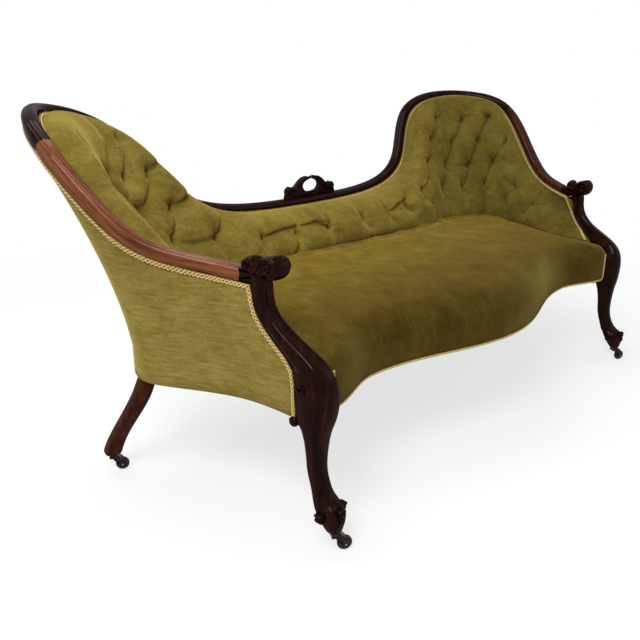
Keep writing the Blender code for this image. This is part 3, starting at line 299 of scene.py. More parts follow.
def catmull(line, steps, closed=False):
    # a smooth curve through the points of a line
    p = np.asarray(line, float)
    before, after = (p[-1:], p[:2]) if closed else (p[:1], p[-1:])
    q = np.vstack((before, p, after))
    out = []
    for a, b, c, d in zip(q, q[1:], q[2:], q[3:]):
        for t in np.arange(steps) / steps:
            out.append(0.5 * (2 * b + (c - a) * t + (2 * a - 5 * b + 4 * c - d) * t * t
                              + (3 * b - a - 3 * c + d) * t ** 3))
    return np.array(out if closed else out + [p[-1]])


def link(name, data):
    ob = bpy.data.objects.new(name, data)
    bpy.context.scene.collection.objects.link(ob)
    return ob


def piece(name, parts, look, slot, stands_for, crease=None, ground=None, grain=None):
    verts = np.vstack([v for v, f in parts])
    faces = []
    start = 0
    for v, f in parts:
        faces += [[i + start for i in q] for q in f]
        start += len(v)
    mesh = bpy.data.meshes.new(name)
    mesh.from_pydata(verts.tolist(), [], faces)
    bm = bmesh.new()
    bm.from_mesh(mesh)
    bmesh.ops.recalc_face_normals(bm, faces=bm.faces[:])
    bm.to_mesh(mesh)
    bm.free()
    mesh.polygons.foreach_set("use_smooth", np.ones(len(mesh.polygons), bool))
    if crease is not None:
        mesh.set_sharp_from_angle(angle=math.radians(crease))
    mesh.materials.append(look)
    if ground is not None:
        # the first part, the ribbon under the plaited cords, has its own darker look: painted shade in the
        # gaps between the cords
        mesh.materials.append(ground)
        marks = np.zeros(len(mesh.polygons), np.int32)
        marks[:len(parts[0][1])] = 1
        mesh.polygons.foreach_set("material_index", marks)
    if grain is not None:
        # length along the piece and round it, for the run of the grain
        corner = np.empty(len(mesh.loops), np.int32)
        mesh.loops.foreach_get("vertex_index", corner)
        places = np.asarray(grain, np.float32)[corner]
        mesh.uv_layers.new(name="grain").data.foreach_set("uv", places.ravel())
    ob = link(name, mesh)
    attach(ob, "settee")
    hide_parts(*stands_for)
    return ob


def pair(name, parts, look, slot, stands_for, **how):
    # a piece on the right and its mirror image on the left
    left = [(v * FLIP, f) for v, f in parts]
    for side, made in (("right_", parts), ("left_", left)):
        piece(side + name, made, look, slot, (side + stands_for,), **how)


# Shader nodes
WHITE = (1, 1, 1)
EVEN = (1, 1, 1)


def feed(tree, made, key, value):
    # an input of a node is a value or another node's output
    if isinstance(value, bpy.types.NodeSocket):
        tree.links.new(value, made.inputs[key])
    else:
        made.inputs[key].default_value = value


def node(tree, kind, inputs, **settings):
    made = tree.nodes.new(kind)
    for key, value in settings.items():
        setattr(made, key, value)
    for key, value in inputs.items():
        feed(tree, made, key, value)
    return made


def coords(tree, scale=EVEN, kind="Object"):
    where = node(tree, "ShaderNodeTexCoord", {}).outputs[kind]
    return node(tree, "ShaderNodeMapping", {"Vector": where, "Scale": scale}).outputs["Vector"]


def noise(tree, vector, scale, detail=4, rough=0.5, distort=0):
    inputs = {"Vector": vector, "Scale": scale, "Detail": detail, "Roughness": rough, "Distortion": distort}
    return node(tree, "ShaderNodeTexNoise", inputs).outputs["Fac"]


def ramp(tree, fac, stops):
    made = node(tree, "ShaderNodeValToRGB", {"Fac": fac})
    elements = made.color_ramp.elements
    while len(elements) < len(stops):
        elements.new(0.5)
    for element, (place, colour) in zip(elements, stops):
        element.position = place
        element.color = (*colour, 1)
    return made.outputs["Color"]


def span(tree, value, **limits):
    # a value moved from one range to another
    inputs = {key.replace("_", " "): limit for key, limit in limits.items()}
    return node(tree, "ShaderNodeMapRange", {"Value": value, **inputs})


def multiply(tree, share, a, b):
    inputs = {"Factor": share, "A": a, "B": b}
    return node(tree, "ShaderNodeMix", inputs, data_type="RGBA", blend_type="MULTIPLY").outputs["Result"]


def bump(tree, shader, height, strength, distance):
    inputs = {"Height": height, "Strength": strength, "Distance": distance}
    feed(tree, shader, "Normal", node(tree, "ShaderNodeBump", inputs).outputs["Normal"])


# Materials
def material(name, base, roughness, metallic=0, **sockets):
    mat = bpy.data.materials.new(name)
    mat.use_nodes = True
    mat.diffuse_color = (*base, 1)
    shader = mat.node_tree.nodes["Principled BSDF"]
    sockets.update(Base_Color=(*base, 1), Roughness=roughness, Metallic=metallic)
    for key, value in sockets.items():
        shader.inputs[key.replace("_", " ")].default_value = value
    return mat, mat.node_tree, shader


def velvet(name, dark, mid, light, streak, streak_share, sheen, nap_and_shade, cloud=0.2):
    # worn cotton velvet: patches of brushed pile, fine streaks and flecks, soft sheen, and painted shade,
    # darker along one axis, partly the pile's nap and partly light falling off across the piece
    mat, tree, shader = material(name, mid, 0.9, Sheen_Weight=sheen, Sheen_Roughness=0.42,
                                 Sheen_Tint=(0.78, 0.62, 0.17, 1), Specular_IOR_Level=0.04)
    plan = coords(tree)
    patches = noise(tree, plan, 13, 7, 0.66, 0.5)
    tone = ramp(tree, patches, ((0.5 - cloud, dark), (0.5, mid), (0.5 + cloud, light)))
    lines = noise(tree, coords(tree, streak), 1, 3, 0.6, 0.15)
    grey = ramp(tree, lines, ((0.34, (0.56, 0.56, 0.54)), (0.66, WHITE)))
    tone = multiply(tree, streak_share, tone, grey)
    fleck = noise(tree, plan, 170, 4, 0.75)
    grey = ramp(tree, fleck, ((0.34, (0.7, 0.69, 0.66)), (0.64, WHITE)))
    tone = multiply(tree, 0.8, tone, grey)
    # painted shade: the tone is multiplied down along one axis of the piece, partly for the nap and partly
    # for where less light falls
    axis, low, high, first, last = nap_and_shade
    place = node(tree, "ShaderNodeSeparateXYZ", {0: plan}).outputs[axis]
    across = span(tree, place, From_Min=low, From_Max=high)
    across.interpolation_type = "SMOOTHSTEP"
    nap_and_shade_tone = ramp(tree, across.outputs["Result"], ((0, (first,) * 3), (1, (last,) * 3)))
    feed(tree, shader, "Base Color", multiply(tree, 1, tone, nap_and_shade_tone))
    bump(tree, shader, noise(tree, plan, 420, 3, 0.6), 0.35, 0.0009)
    return mat


def wood(name, dark, mid, light, grain, coat, roughness=0.26, kind="Object"):
    # polished hardwood: streaked grain and pores under a clear polish of uneven gloss
    mat, tree, shader = material(name, mid, roughness, Coat_Weight=coat, Coat_Roughness=0.08, Coat_IOR=1.32,
                                 Specular_IOR_Level=0)
    broad = noise(tree, coords(tree, grain, kind), 1, 6, 0.6, 0.6)
    fine = noise(tree, coords(tree, tuple(4.5 * g for g in grain), kind), 1, 4, 0.6, 0.3)
    tone = ramp(tree, broad, ((0.32, dark), (0.52, mid), (0.74, light)))
    pores = ramp(tree, fine, ((0.34, (0.45, 0.4, 0.38)), (0.52, WHITE)))
    feed(tree, shader, "Base Color", multiply(tree, 0.7, tone, pores))
    wear = noise(tree, coords(tree), 38, 3, 0.6)
    gloss = span(tree, wear, To_Min=roughness - 0.08, To_Max=roughness + 0.16)
    feed(tree, shader, "Roughness", gloss.outputs["Result"])
    bump(tree, shader, fine, 0.1, 0.0004)
    return mat


def plain(name, dark, light, scale, roughness, metallic=0, stretch=EVEN, depth=0.0005, **sockets):
    mat, tree, shader = material(name, light, roughness, metallic, **sockets)
    grains = noise(tree, coords(tree, stretch), scale, 4, 0.6)
    feed(tree, shader, "Base Color", ramp(tree, grains, ((0.32, dark), (0.68, light))))
    bump(tree, shader, grains, 0.3, depth)
    return mat


# back velvet: painted shade, darker towards its right end where less light falls, partly the pile's nap
VELVET_BACK = velvet("velvet_back", (0.116, 0.084, 0.0128), (0.182, 0.136, 0.0242), (0.248, 0.195, 0.041),
                     (60, 60, 200), 0.5, 0.34, (0, 0.25, 0.8, 1, 0.63), 0.22)
# seat velvet: a darker copy of the same velvet, partly painted shade, and painted shade darker towards the
# front, which faces away from the light, partly the pile's nap
VELVET_SEAT_SHADED = velvet("velvet_seat_painted_shade", (0.102, 0.062, 0.006), (0.15, 0.098, 0.011), (0.198, 0.14, 0.02),
                     (150, 26, 26), 0.6, 0.3, (1, -0.4, 0.16, 0.42, 1))
# outside velvet: a lighter copy of the same velvet, partly painted light for the side facing the key lamp;
# darker towards the top
VELVET_SIDE_LIT = velvet("velvet_side_painted_light", (0.186, 0.128, 0.028), (0.262, 0.204, 0.046), (0.318, 0.262, 0.068),
                     (22, 22, 230), 0.85, 0.38, (2, 0.46, 0.8, 1, 0.66), 0.3)
SHOW_WOOD = wood("show_wood", (0.0045, 0.001, 0.0007), (0.012, 0.0027, 0.0015), (0.03, 0.0072, 0.0034),
                 (60, 60, 9), 0.2)
# a darker copy of the arm wood: painted shade for the right arm rail's face turned away from the light
ARM_WOOD_SHADED = wood("arm_wood_painted_shade", (0.012, 0.0032, 0.002), (0.036, 0.0095, 0.0046), (0.085, 0.023, 0.0095),
                 (60, 60, 9), 0.24)
ARM_WOOD = wood("arm_wood", (0.066, 0.018, 0.007), (0.15, 0.044, 0.015), (0.24, 0.086, 0.029),
                (7, 110, 1), 0.5, kind="UV")
LEG_WOOD = wood("leg_wood", (0.012, 0.003, 0.0014), (0.04, 0.0105, 0.0036), (0.08, 0.022, 0.007),
                (70, 70, 10), 0.15)
BEECH = wood("beech_frame", (0.33, 0.21, 0.11), (0.48, 0.33, 0.18), (0.58, 0.42, 0.25), (8, 40, 40), 0, 0.6)
BRAID = plain("gold_gimp", (0.33, 0.21, 0.055), (0.64, 0.48, 0.18), 520, 0.55, depth=0.0006,
              Sheen_Weight=0.15, Sheen_Roughness=0.4)
# darker ribbon under the cords: painted shade in the gaps between them
BRAID_GAP_SHADE = plain("gimp_ground", (0.1, 0.062, 0.014), (0.24, 0.155, 0.04), 620, 0.7, depth=0.0006)
JUTE = plain("jute", (0.26, 0.18, 0.09), (0.5, 0.38, 0.21), 700, 0.9, stretch=(1, 0.3, 1))
CALICO = plain("black_calico", (0.018, 0.018, 0.018), (0.05, 0.05, 0.05), 900, 0.9)
STEEL = plain("spring_steel", (0.16, 0.12, 0.1), (0.34, 0.3, 0.27), 160, 0.42, 1)
IRON = plain("castor_iron", (0.007, 0.006, 0.005), (0.03, 0.024, 0.019), 140, 0.38, 0.6,
             Specular_IOR_Level=0.15)
PIN = plain("axle_steel", (0.22, 0.2, 0.18), (0.42, 0.4, 0.37), 200, 0.35, 1)
WHEEL = plain("castor_wheel", (0.007, 0.005, 0.004), (0.03, 0.021, 0.015), 90, 0.3, Specular_IOR_Level=0.15)


# Camera at the photograph's viewing angle
YAW = 0.8187
PITCH = 0.3262
eye = bpy.data.cameras.new("camera")
eye.sensor_width = 36
eye.lens = 40.5
eye.shift_y = -0.0065
camera = link("camera", eye)
camera.location = (-1.7154, -1.3146, 0.9722)
camera.rotation_euler = (math.pi / 2 - PITCH, 0, -YAW)
bpy.context.scene.camera = camera


# Tufted inside back: where the tufts are, along the back from its middle and up
RIGHT = (
    ((0.738, 0.798), (0.868, 0.792), (0.991, 0.803)),
    ((0.668, 0.722), (0.783, 0.707), (0.932, 0.714), (1.098, 0.718)),
    ((0.6, 0.646), (0.706, 0.632), (0.857, 0.626), (1.016, 0.64)),
    ((0.5, 0.558), (0.643, 0.552), (0.786, 0.546), (0.935, 0.558), (1.218, 0.556)),
)
ARM_TUFT = (1.327, 0.508)
LEFT = ((-0.707, 0.81), (-0.672, 0.724), (-0.762, 0.717), (-0.851, 0.723), (-0.648, 0.635),
        (-0.768, 0.638), (-0.705, 0.556), (-0.561, 0.546), (-0.991, 0.813), (-1.1, 0.727),
        (-1.013, 0.65), (-0.93, 0.569), (-1.218, 0.565), (-1.327, 0.508))
MIDDLE = ((-0.36, 0.514), (-0.209, 0.509), (-0.065, 0.508), (0.094, 0.513), (0.236, 0.514), (0.365, 0.517))
TUFTS = sum(RIGHT, ()) + (ARM_TUFT,) + LEFT + MIDDLE
FOOT = 0.415
PUFF = 0.014
PLEAT_DEPTH = 0.024
PLEAT_OPEN = 0.028
PLEAT_LAP = 0.007
PLEAT_EDGE = 0.006
PLEAT_SLACK = 0.12
SPAN_SLACK = 0.45
TUFT_SINK = 0.022
TUFT_WIDTH = 0.012
DIMPLE = 0.005
DIMPLE_WIDTH = 0.036
PUCKER = 0.0032
PUCKER_WIDTH = 0.016

# Seam under the long roll beside the left arm rail: points, then weight, lapped and open slope, slack
ROLL_SEAM = ((-0.77, 0.9), (-0.757, 0.809), (-0.826, 0.735), (-0.851, 0.723))
ROLL_SHAPE = (0.8, 0.014, 0.04, 0)
ROLL_LIFT = 0.048
ROLL_RISE = 0.06
ROLL_CREST = 0.05
ROLL_FALL = 0.18


def pleats():
    # folds between tufts, to the rail and to the seat: weight, then points with the lapped side on the left
    # a to d are the right side's rows from the top, e the left side's tufts and m the middle's
    a, b, c, d = RIGHT
    e, m = LEFT, MIDDLE
    lines = [
        (1, a[0], b[0], c[0], d[0], (0.5, 0.539), (0.537, 0.512), (0.548, 0.465), (0.55, FOOT)),
        (1, a[1], b[1], c[1], d[1], (0.65, 0.537), (0.655, 0.507), (0.65, FOOT)),
        (0.9, a[2], b[2], c[2], d[2], (0.812, 0.524), (0.818, 0.492), (0.818, FOOT)),
        (0.6, b[3], c[3], d[3], (0.916, 0.516), (0.906, FOOT)),
        (0.5, d[4], (1.176, 0.515), (1.14, FOOT)),
        (0.9, (1.345, 0.545), ARM_TUFT, (1.305, 0.494), (1.279, 0.471), (1.26, FOOT)),
        (0.6, c[2], c[1]), (0.35, (1.2, 0.745), b[3]), (0.4, (0.88, 0.87), a[1]), (0.35, (1.01, 0.87), a[2]),
        (0.4, (0.64, 0.8), b[0]), (0.4, (0.53, 0.715), c[0]), (0.5, (0.44, 0.6), d[0]),
        (1, e[3], (-0.8, 0.67), e[5], (-0.766, 0.564), (-0.775, FOOT)),
        (0.9, (-0.705, 0.87), e[0], (-0.716, 0.784), e[2], (-0.79, 0.67), e[5]),
        (0.9, (-0.628, 0.745), e[1], (-0.685, 0.696), (-0.735, 0.655), e[5]),
        (1, (-0.552, 0.668), e[4], (-0.65, 0.606), e[6], (-0.712, 0.5), (-0.705, FOOT)),
        (1, (-0.443, 0.606), (-0.51, 0.575), e[7], (-0.554, 0.496), (-0.545, FOOT)),
        (0.6, e[7], (-0.63, 0.545), e[6]), (0.4, e[0], e[1]), (0.4, e[2], e[4]),
        (0.4, e[5], e[6]), (1.1, e[3], (-0.93, 0.727), (-1.05, 0.732)),
        (0.3, e[11], (-0.94, FOOT)), (0.5, e[12], (-1.18, FOOT)),
        (0.6, (-1.345, 0.545), e[13], (-1.29, FOOT)),
        (1.2, m[0], (-0.373, 0.489), (-0.376, FOOT)),
        (1.2, m[1], (-0.218, 0.487), (-0.253, 0.458), (-0.268, FOOT)),
        (1.2, m[2], (-0.054, 0.485), (-0.057, FOOT)), (1.2, m[3], (0.114, 0.484), (0.111, FOOT)),
        (1.2, m[4], (0.26, 0.48), (0.26, FOOT)),
        (1.2, m[5], (0.4, 0.497), (0.417, 0.468), (0.417, FOOT)),
        (0.9, m[2], (-0.118, 0.533), (-0.19, 0.531), (-0.262, 0.53), (-0.334, 0.523), m[0]),
        (1, (-0.153, 0.6), m[1]), (1, (-0.023, 0.6), m[2]), (0.7, (0.107, 0.6), m[3]),
        (0.9, (0.402, 0.6), (0.377, 0.544), (0.307, 0.533), m[4]), (0.7, (0.442, 0.61), m[5]),
    ]
    for upper, lower in ((a, b[1:]), (b, c[1:]), (c, d[1:])):
        lines += [(0.45, one, other) for one, other in zip(upper, lower)]
    out = []
    for line in lines:
        for one, other in zip(line[1:], line[2:]):
            slack = SPAN_SLACK if one in TUFTS and other in TUFTS else PLEAT_SLACK
            out.append((*one, *other, line[0], PLEAT_LAP, PLEAT_OPEN, slack))
    for one, other in zip(ROLL_SEAM, ROLL_SEAM[1:]):
        out.append((*one, *other, *ROLL_SHAPE))
    return np.array(out)


PLEATS = pleats()


def tuft_height(s, z):
    # how far the cover puffs out, less its pleats, steep on the lapped side, and its puckered tufts
    deep = np.zeros_like(s)
    for s0, z0, s1, z1, weight, lap, slope, slack in PLEATS:
        dx, dz = s1 - s0, z1 - z0
        t = np.clip(((s - s0) * dx + (z - z0) * dz) / (dx * dx + dz * dz), 0, 1)
        away = np.hypot(s - s0 - t * dx, z - z0 - t * dz)
        lapped = smooth(0.5 + ((s - s0) * dz - (z - z0) * dx) / math.hypot(dx, dz) / PLEAT_EDGE)
        firm = weight * (1 - slack * 4 * t * (1 - t))
        deep = np.maximum(deep, firm * np.exp(-away / (slope + (lap - slope) * lapped)))
    out = PUFF - PLEAT_DEPTH * deep
    for k, (s0, z0) in enumerate(TUFTS):
        away = np.hypot(s - s0, z - z0)
        turn = np.arctan2(z - z0, s - s0)
        out -= TUFT_SINK * np.exp(-away / TUFT_WIDTH) + DIMPLE * np.exp(-(away / DIMPLE_WIDTH) ** 2)
        out += PUCKER * np.cos(8 * turn + k) * (away / PUCKER_WIDTH) * np.exp(-away / PUCKER_WIDTH)
    return out


def soften(grid):
    # a three-point blur along one direction, then along the other
    for _ in range(2):
        blurred = 0.25 * grid[:-2] + 0.5 * grid[1:-1] + 0.25 * grid[2:]
        grid = np.vstack((grid[:1], blurred, grid[-1:])).T
    return grid


def rolled(us, z):
    # how far the edge of the pad rolls up in front of the rail
    upward = rail_frames(us)[3]
    down = (rail_underside(us)[:, 2:] - z) * np.maximum(upward[:, 2:], 0.35)
    share = np.clip(down / ROLL_RISE, 0, 1)
    lift = ROLL_LIFT * np.sqrt(share * (2 - share))
    lift = lift * 0.5 * (1 + np.cos(np.pi * np.clip((down - ROLL_CREST) / ROLL_FALL, 0, 1)))
    return lift * smooth((near_end(us)[:, None] - 0.04) / 0.16), upward


def bare_pad(us, z, fullness=0):
    base, inward = base_frames(us)
    top = rail_underside(us) + rail_frames(us)[2] * (RAIL_OUT - RAIL_FRONT - 0.0025)
    rise = np.clip((z - PAD_LINE) / (top[:, 2:] - PAD_LINE), 0, 1)
    near = near_end(us)[:, None]
    thin = PAD_THIN * smooth((z - PAD_LINE) / 0.03) * (1 - smooth(near / 0.1)) * smooth((0.9 - rise) / 0.4)
    low = base[:, None] + inward[:, None] * (pad_depth(us)[:, None] - thin)[..., None]
    face = low + (top[:, None] - low) * rise[..., None]
    crown = BACK_CROWN * np.sqrt(np.maximum(0, 4 * rise * (1 - rise))) * smooth(near / 0.25) + fullness
    face = face + inward[:, None] * crown[..., None]
    face[:, :, 2] = z
    return face


LEVELS = np.linspace(0.3, rail_underside(0)[0, 2], 60)
PAD_SHIFT = stump_rear(LEVELS) - bare_pad(np.array((0,)), LEVELS[None, :])[0, :, 1]


def pad_face(us, share, tufted=True):
    top = rail_underside(us)[:, 2:]
    z = PAD_BOTTOM + share * (top - PAD_BOTTOM)
    lift, upward = rolled(us, z)
    fullness = 0
    if tufted:
        s = np.broadcast_to(s_of_u(us)[:, None], z.shape)
        fade = smooth((top - z) / 0.03) * (0.5 + 0.5 * smooth((z - PAD_LINE) / 0.05))
        fullness = soften(tuft_height(s, z + lift * upward[:, 2:])) * fade
        fullness = fullness * smooth((near_end(us)[:, None] - 0.03) / 0.12)
        fullness = fullness + 0.0012 * np.sin(31 * s + 9 * z) * np.sin(27 * z + 5 * s) * fade
    face = bare_pad(us, z, fullness) + upward[:, None] * lift[..., None]
    rise = np.clip((z - RAIL_TOP) / (top - RAIL_TOP), 0, 1)
    return settle(us, face, np.interp(z, LEVELS, PAD_SHIFT), rise)


# Edge of the pad in front of the rail's inner face: outward, upward from the rail's centre
LIP = ((-0.0202, -0.015), (-0.0202, -0.01), (-0.0196, -0.0068), (-0.0185, -0.0056), (-0.0174, -0.0064),
       (-0.0174, -0.018), (-0.004, -0.019))


def inside_back():
    us = u_of_s(np.linspace(S_END, -S_END, 1051))
    share = np.concatenate((np.linspace(0, 0.88, 112), np.linspace(0.88, 1, 34)[1:]))
    p, _, outward, upward = rail_frames(us)
    lip = np.stack([p + outward * a + upward * b for a, b in LIP], 1)
    full = np.ones((len(us), len(LIP)))
    lip = settle(us, lip, PAD_SHIFT[-1] * full, full)
    depth = COVER_THICK + POST_THICK + 2 * GAP + PAD_EASE
    rear = wall(us, np.array((1, 0.8, 0.6, 0.4, 0.2, 0)), depth)
    rear[:, -1, 2] = PAD_BOTTOM
    rings = np.concatenate((pad_face(us, share), lip, rear), 1)
    ob = piece("inside_back", [loft(rings)], VELVET_BACK, "velvet",
               ("left_inside_back", "centre_inside_back", "right_inside_back"))


inside_back()


# Seat cushion: plan between the serpentine front and the wall
def half_wave(a, b, t):
    return a + (b - a) * 0.5 * (1 - np.cos(np.pi * np.clip(t, 0, 1)))


def front_line(x):
    x = np.abs(x)
    inner = half_wave(FRONT_BULGE, FRONT_HOLLOW, x / HOLLOW_X)
    outer = half_wave(FRONT_HOLLOW, FRONT_END, (x - HOLLOW_X) / (SEAT_HALF - HOLLOW_X))
    return np.where(x < HOLLOW_X, inner, outer)


U_CORNER = knots[5]


def seat_plan(a, b):
    # x and y of the seat: a from its left end to its right, b from the front line to the back pad
    def rim(us):
        base, inward = base_frames(us)
        return (base + inward * (pad_depth(us) + SEAT_CLEARANCE)[:, None])[:, :2]

    def front(q):
        return points(SEAT_HALF * q, front_line(SEAT_HALF * q))

    corner = front(np.array((1,)))[0]
    first = rim(np.array((0,)))[0]
    back_corner = rim(np.array((U_CORNER,)))[0]
    step = np.linalg.norm(first - corner)
    t = step / (step + np.linalg.norm(back_corner - first))
    edge = corner + (first - corner) * np.minimum(b / t, 1)[:, None]
    edge = np.where((b <= t)[:, None], edge, rim(U_CORNER * np.clip((b - t) / (1 - t), 0, 1)))
    b = b[:, None]
    out = (1 - b) * front(a)[:, None] + b * rim(1 + (U_CORNER - 1) * a)[:, None]
    return out + (edge - (1 - b) * corner - b * back_corner) * points(a, 1)[:, None]


# Front face of the seat: height, how far it rolls forward
ROLL = np.array(((0.296, 0), (0.322, 0.006), (0.354, 0.009), (0.386, 0.004)))
ROLL_LINE = catmull(ROLL, 6)
SEAT_A = np.linspace(-1, 1, 281)
SEAT_B = np.concatenate(([0], np.linspace(0, 0.12, 30)[1:], np.linspace(0.12, 0.94, 64)[1:],
                         np.linspace(0.94, 1, 12)[1:]))
SEAT_PLAN = seat_plan(SEAT_A, SEAT_B)
NARROW = smooth((1 - np.abs(SEAT_A)) / 0.2)[:, None]
CORNER_DROP = 0.01
REAR_RISE = 0.009
REAR_END_RISE = 0.008
LEFT_RISE = 0.012
MEETING_RISE = 0.02
WAVE = 0.0016


def seat_front():
    y = SEAT_PLAN[:, :1, 1] - NARROW * ROLL_LINE[:, 1]
    return points(SEAT_PLAN[:, :1, 0], y, ROLL_LINE[:, 0])


def seat_top():
    # crowned, lower at the front corners and higher along the back, with the slow waves of a sprung seat
    a, b = SEAT_A[:, None], SEAT_B[1:]
    x, y = SEAT_PLAN[:, 1:, 0], SEAT_PLAN[:, 1:, 1]
    roll = 1 - np.exp(-b / 0.022)
    crown = np.maximum(0, SEAT_CROWN * (1 - (2 * b - 1.02) ** 4) * (1 - 0.5 * np.abs(a) ** 4))
    at_end = 1 - smooth((1 - np.abs(a)) / 0.1)
    edge = SEAT_EDGE - CORNER_DROP * at_end * (1 - smooth((b - 0.2) / 0.3))
    edge = edge + smooth((b - 0.55) / 0.4) * (REAR_RISE + REAR_END_RISE * smooth((np.abs(a) - 0.15) / 0.5))
    edge = edge + LEFT_RISE * smooth((b - 0.5) / 0.45) * np.exp(-((x + 0.3) / 0.3) ** 2)
    edge = edge + MEETING_RISE * smooth((b - 0.88) / 0.12)
    z = ROLL[-1, 0] + (edge - ROLL[-1, 0]) * roll + crown * roll
    wave = np.sin(13 * x + 3 * y) * np.sin(17 * y - 4 * x) + 0.5 * np.sin(29 * x - 11 * y + 1)
    z = z + WAVE * wave * smooth(b / 0.1) * smooth((1 - b) / 0.1)
    return points(x, y - 0.004 * NARROW * np.exp(-b / 0.012), z)


SEAT_OUTER = np.concatenate((seat_front(), seat_top()), 1)


def seat_cushion():
    rows = []
    for share in (1, 0.8, 0.6, 0.4, 0.2, 0.035):
        q = SEAT_PLAN[:, np.argmin(np.abs(SEAT_B - share))].copy()
        if share < 0.1:
            q[:, 1] = np.maximum(q[:, 1], SEAT_PLAN[:, 0, 1] + FRONT_BORDER + 0.002)
        rows.append((q, PAD_BOTTOM))
    for z in (PAD_BOTTOM, 0.32, ROLL[0, 0]):
        rows.append((SEAT_PLAN[:, 0] + (0, FRONT_BORDER), z))
    under = np.stack([points(*q.T, z) for q, z in rows], 1)
    rings = np.concatenate((SEAT_OUTER, under), 1)
    ob = piece("seat_cushion", [loft(rings)], VELVET_SEAT_SHADED, "velvet", ("seat_pad",))


seat_cushion()


# Outside covers, stretched over the back frame
COVER_SPLIT = 0.63
COVER_EASE = 0.0018


def cover_grid(us, d):
    low = wall(us, np.array((0,)), d)
    foot = low.copy()
    foot[:, :, 2] = COVER_BOTTOM
    mid = 0.5 * (foot + low)
    w = np.linspace(0, 1, 33)
    grid = wall(us, w, d)
    ease = COVER_EASE * smooth(w / 0.06) * smooth((1 - w) / 0.15)
    grid = grid - base_frames(us)[1][:, None] * ease[:, None]
    return np.concatenate((foot, mid, grid), 1)


def outside_cover(name, s0, s1):
    us = u_of_s(np.linspace(s0, s1, int(abs(s1 - s0) / 0.009) + 2))
    outer = cover_grid(us, 0)
    inner = cover_grid(us, COVER_THICK)
    rings = np.concatenate((outer, inner[:, ::-1]), 1)
    ob = piece(name, [loft(rings)], VELVET_SIDE_LIT, "velvet", (name.replace("cover", "panel"),))


outside_cover("right_outside_cover", S_END, COVER_SPLIT + 0.5 * GAP)
outside_cover("left_outside_cover", -COVER_SPLIT - 0.5 * GAP, -S_END)
outside_cover("centre_outside_cover", COVER_SPLIT - 0.5 * GAP, -COVER_SPLIT + 0.5 * GAP)


# Gimp braid: a scalloped ribbon with two plaited cords
KNOT = 0.0092
BRAID_STEP = 0.0013
BRAID_LIFT = 0.0006
PLAIT_RADIUS = 0.0018
PLAIT_SWAY = 0.0042
# Section of the ribbon: share of its half width, height
RIBBON = ((-1, 0), (-0.94, 0.0011), (-0.5, 0.0014), (0, 0.0015), (0.5, 0.0014), (0.94, 0.0011),
          (1, 0), (0, -0.0004))


def plait(path, radius):
    t = unit(np.gradient(path, axis=0))
    up = np.where(np.abs(t[:, 2:]) > 0.8, 0.577, (0, 0, 1))
    a = unit(np.cross(t, up))
    return cord(path, a, np.cross(t, a), radius, 6)


def braid_parts(middle, side, normal, size):
    length = lengths(middle)
    at = np.linspace(0, length[-1], int(length[-1] / BRAID_STEP))
    lines = (middle, side, normal)
    c, d, n = (np.stack([np.interp(at, length, line[:, k]) for k in range(3)], 1) for line in lines)
    d = square_to(d, unit(np.gradient(c, axis=0)))
    n = square_to(n, d)
    phase = 2 * np.pi * at / KNOT
    half = 0.5 * GIMP_WIDTH * size * (0.86 - 0.16 * np.cos(phase))
    parts = [loft(np.stack([c + d * (across * half)[:, None] + n * lift for across, lift in RIBBON], 1))]
    for shift in (0, np.pi):
        sway = PLAIT_SWAY * size * np.sin(0.5 * phase + shift)
        rise = 0.002 + 0.0009 * np.cos(0.5 * phase + shift)
        path = c + d * sway[:, None] + n * rise[:, None]
        parts.append(plait(path, PLAIT_RADIUS * (0.35 + 0.65 * size)))
    return parts


def gimp_line(columns, us, first, inside):
    # up beside the stump, then along under the rail: middle, side and normal of the ribbon
    _, inward = base_frames(us)
    toward = unit(columns[3] - columns[0])[first:-4]
    middle = columns[0][first:-4] + toward * 0.0015
    normal = np.tile(inward[0] if inside else -inward[0], (len(middle), 1))
    p, tangent, outward, upward = rail_frames(us)
    if inside:
        full = np.ones((len(us), 1))
        edge = p - outward * 0.0206 - upward * 0.0062
        edge = settle(us, edge[:, None], PAD_SHIFT[-1] * full, full)[:, 0]
        drop = -upward
        face = -outward + 0.25 * upward
    else:
        edge = columns[:, -1]
        drop = square_to(columns[:, -3] - edge, tangent)
        face = np.cross(tangent, drop)
        face = face * np.where(np.sum(face * outward, axis=1, keepdims=True) < 0, -1, 1)
    keep = np.linalg.norm(edge - edge[0], axis=1) > 0.5 * GIMP_WIDTH
    middle = np.vstack((middle, (edge + drop * 0.5 * GIMP_WIDTH)[keep]))
    normal = np.vstack((normal, face[keep]))
    return middle + unit(normal) * BRAID_LIFT, np.vstack((toward, drop[keep])), normal


def gimps():
    us = np.linspace(0, 1, 360)
    outer = braid_parts(*gimp_line(cover_grid(us, 0), us, 0, False), 0.88)
    pair("outer_braid", outer, BRAID, "braid", "outer_gimp", ground=BRAID_GAP_SHADE)
    columns = pad_face(us, np.linspace(0, 1, 60), tufted=False)
    low = int(np.argmin(np.abs(columns[0, :, 2] - PAD_LINE)))
    inner = braid_parts(*gimp_line(columns, us, low, True), 0.75)
    pair("inner_braid", inner, BRAID, "braid", "inner_gimp", ground=BRAID_GAP_SHADE)


gimps()


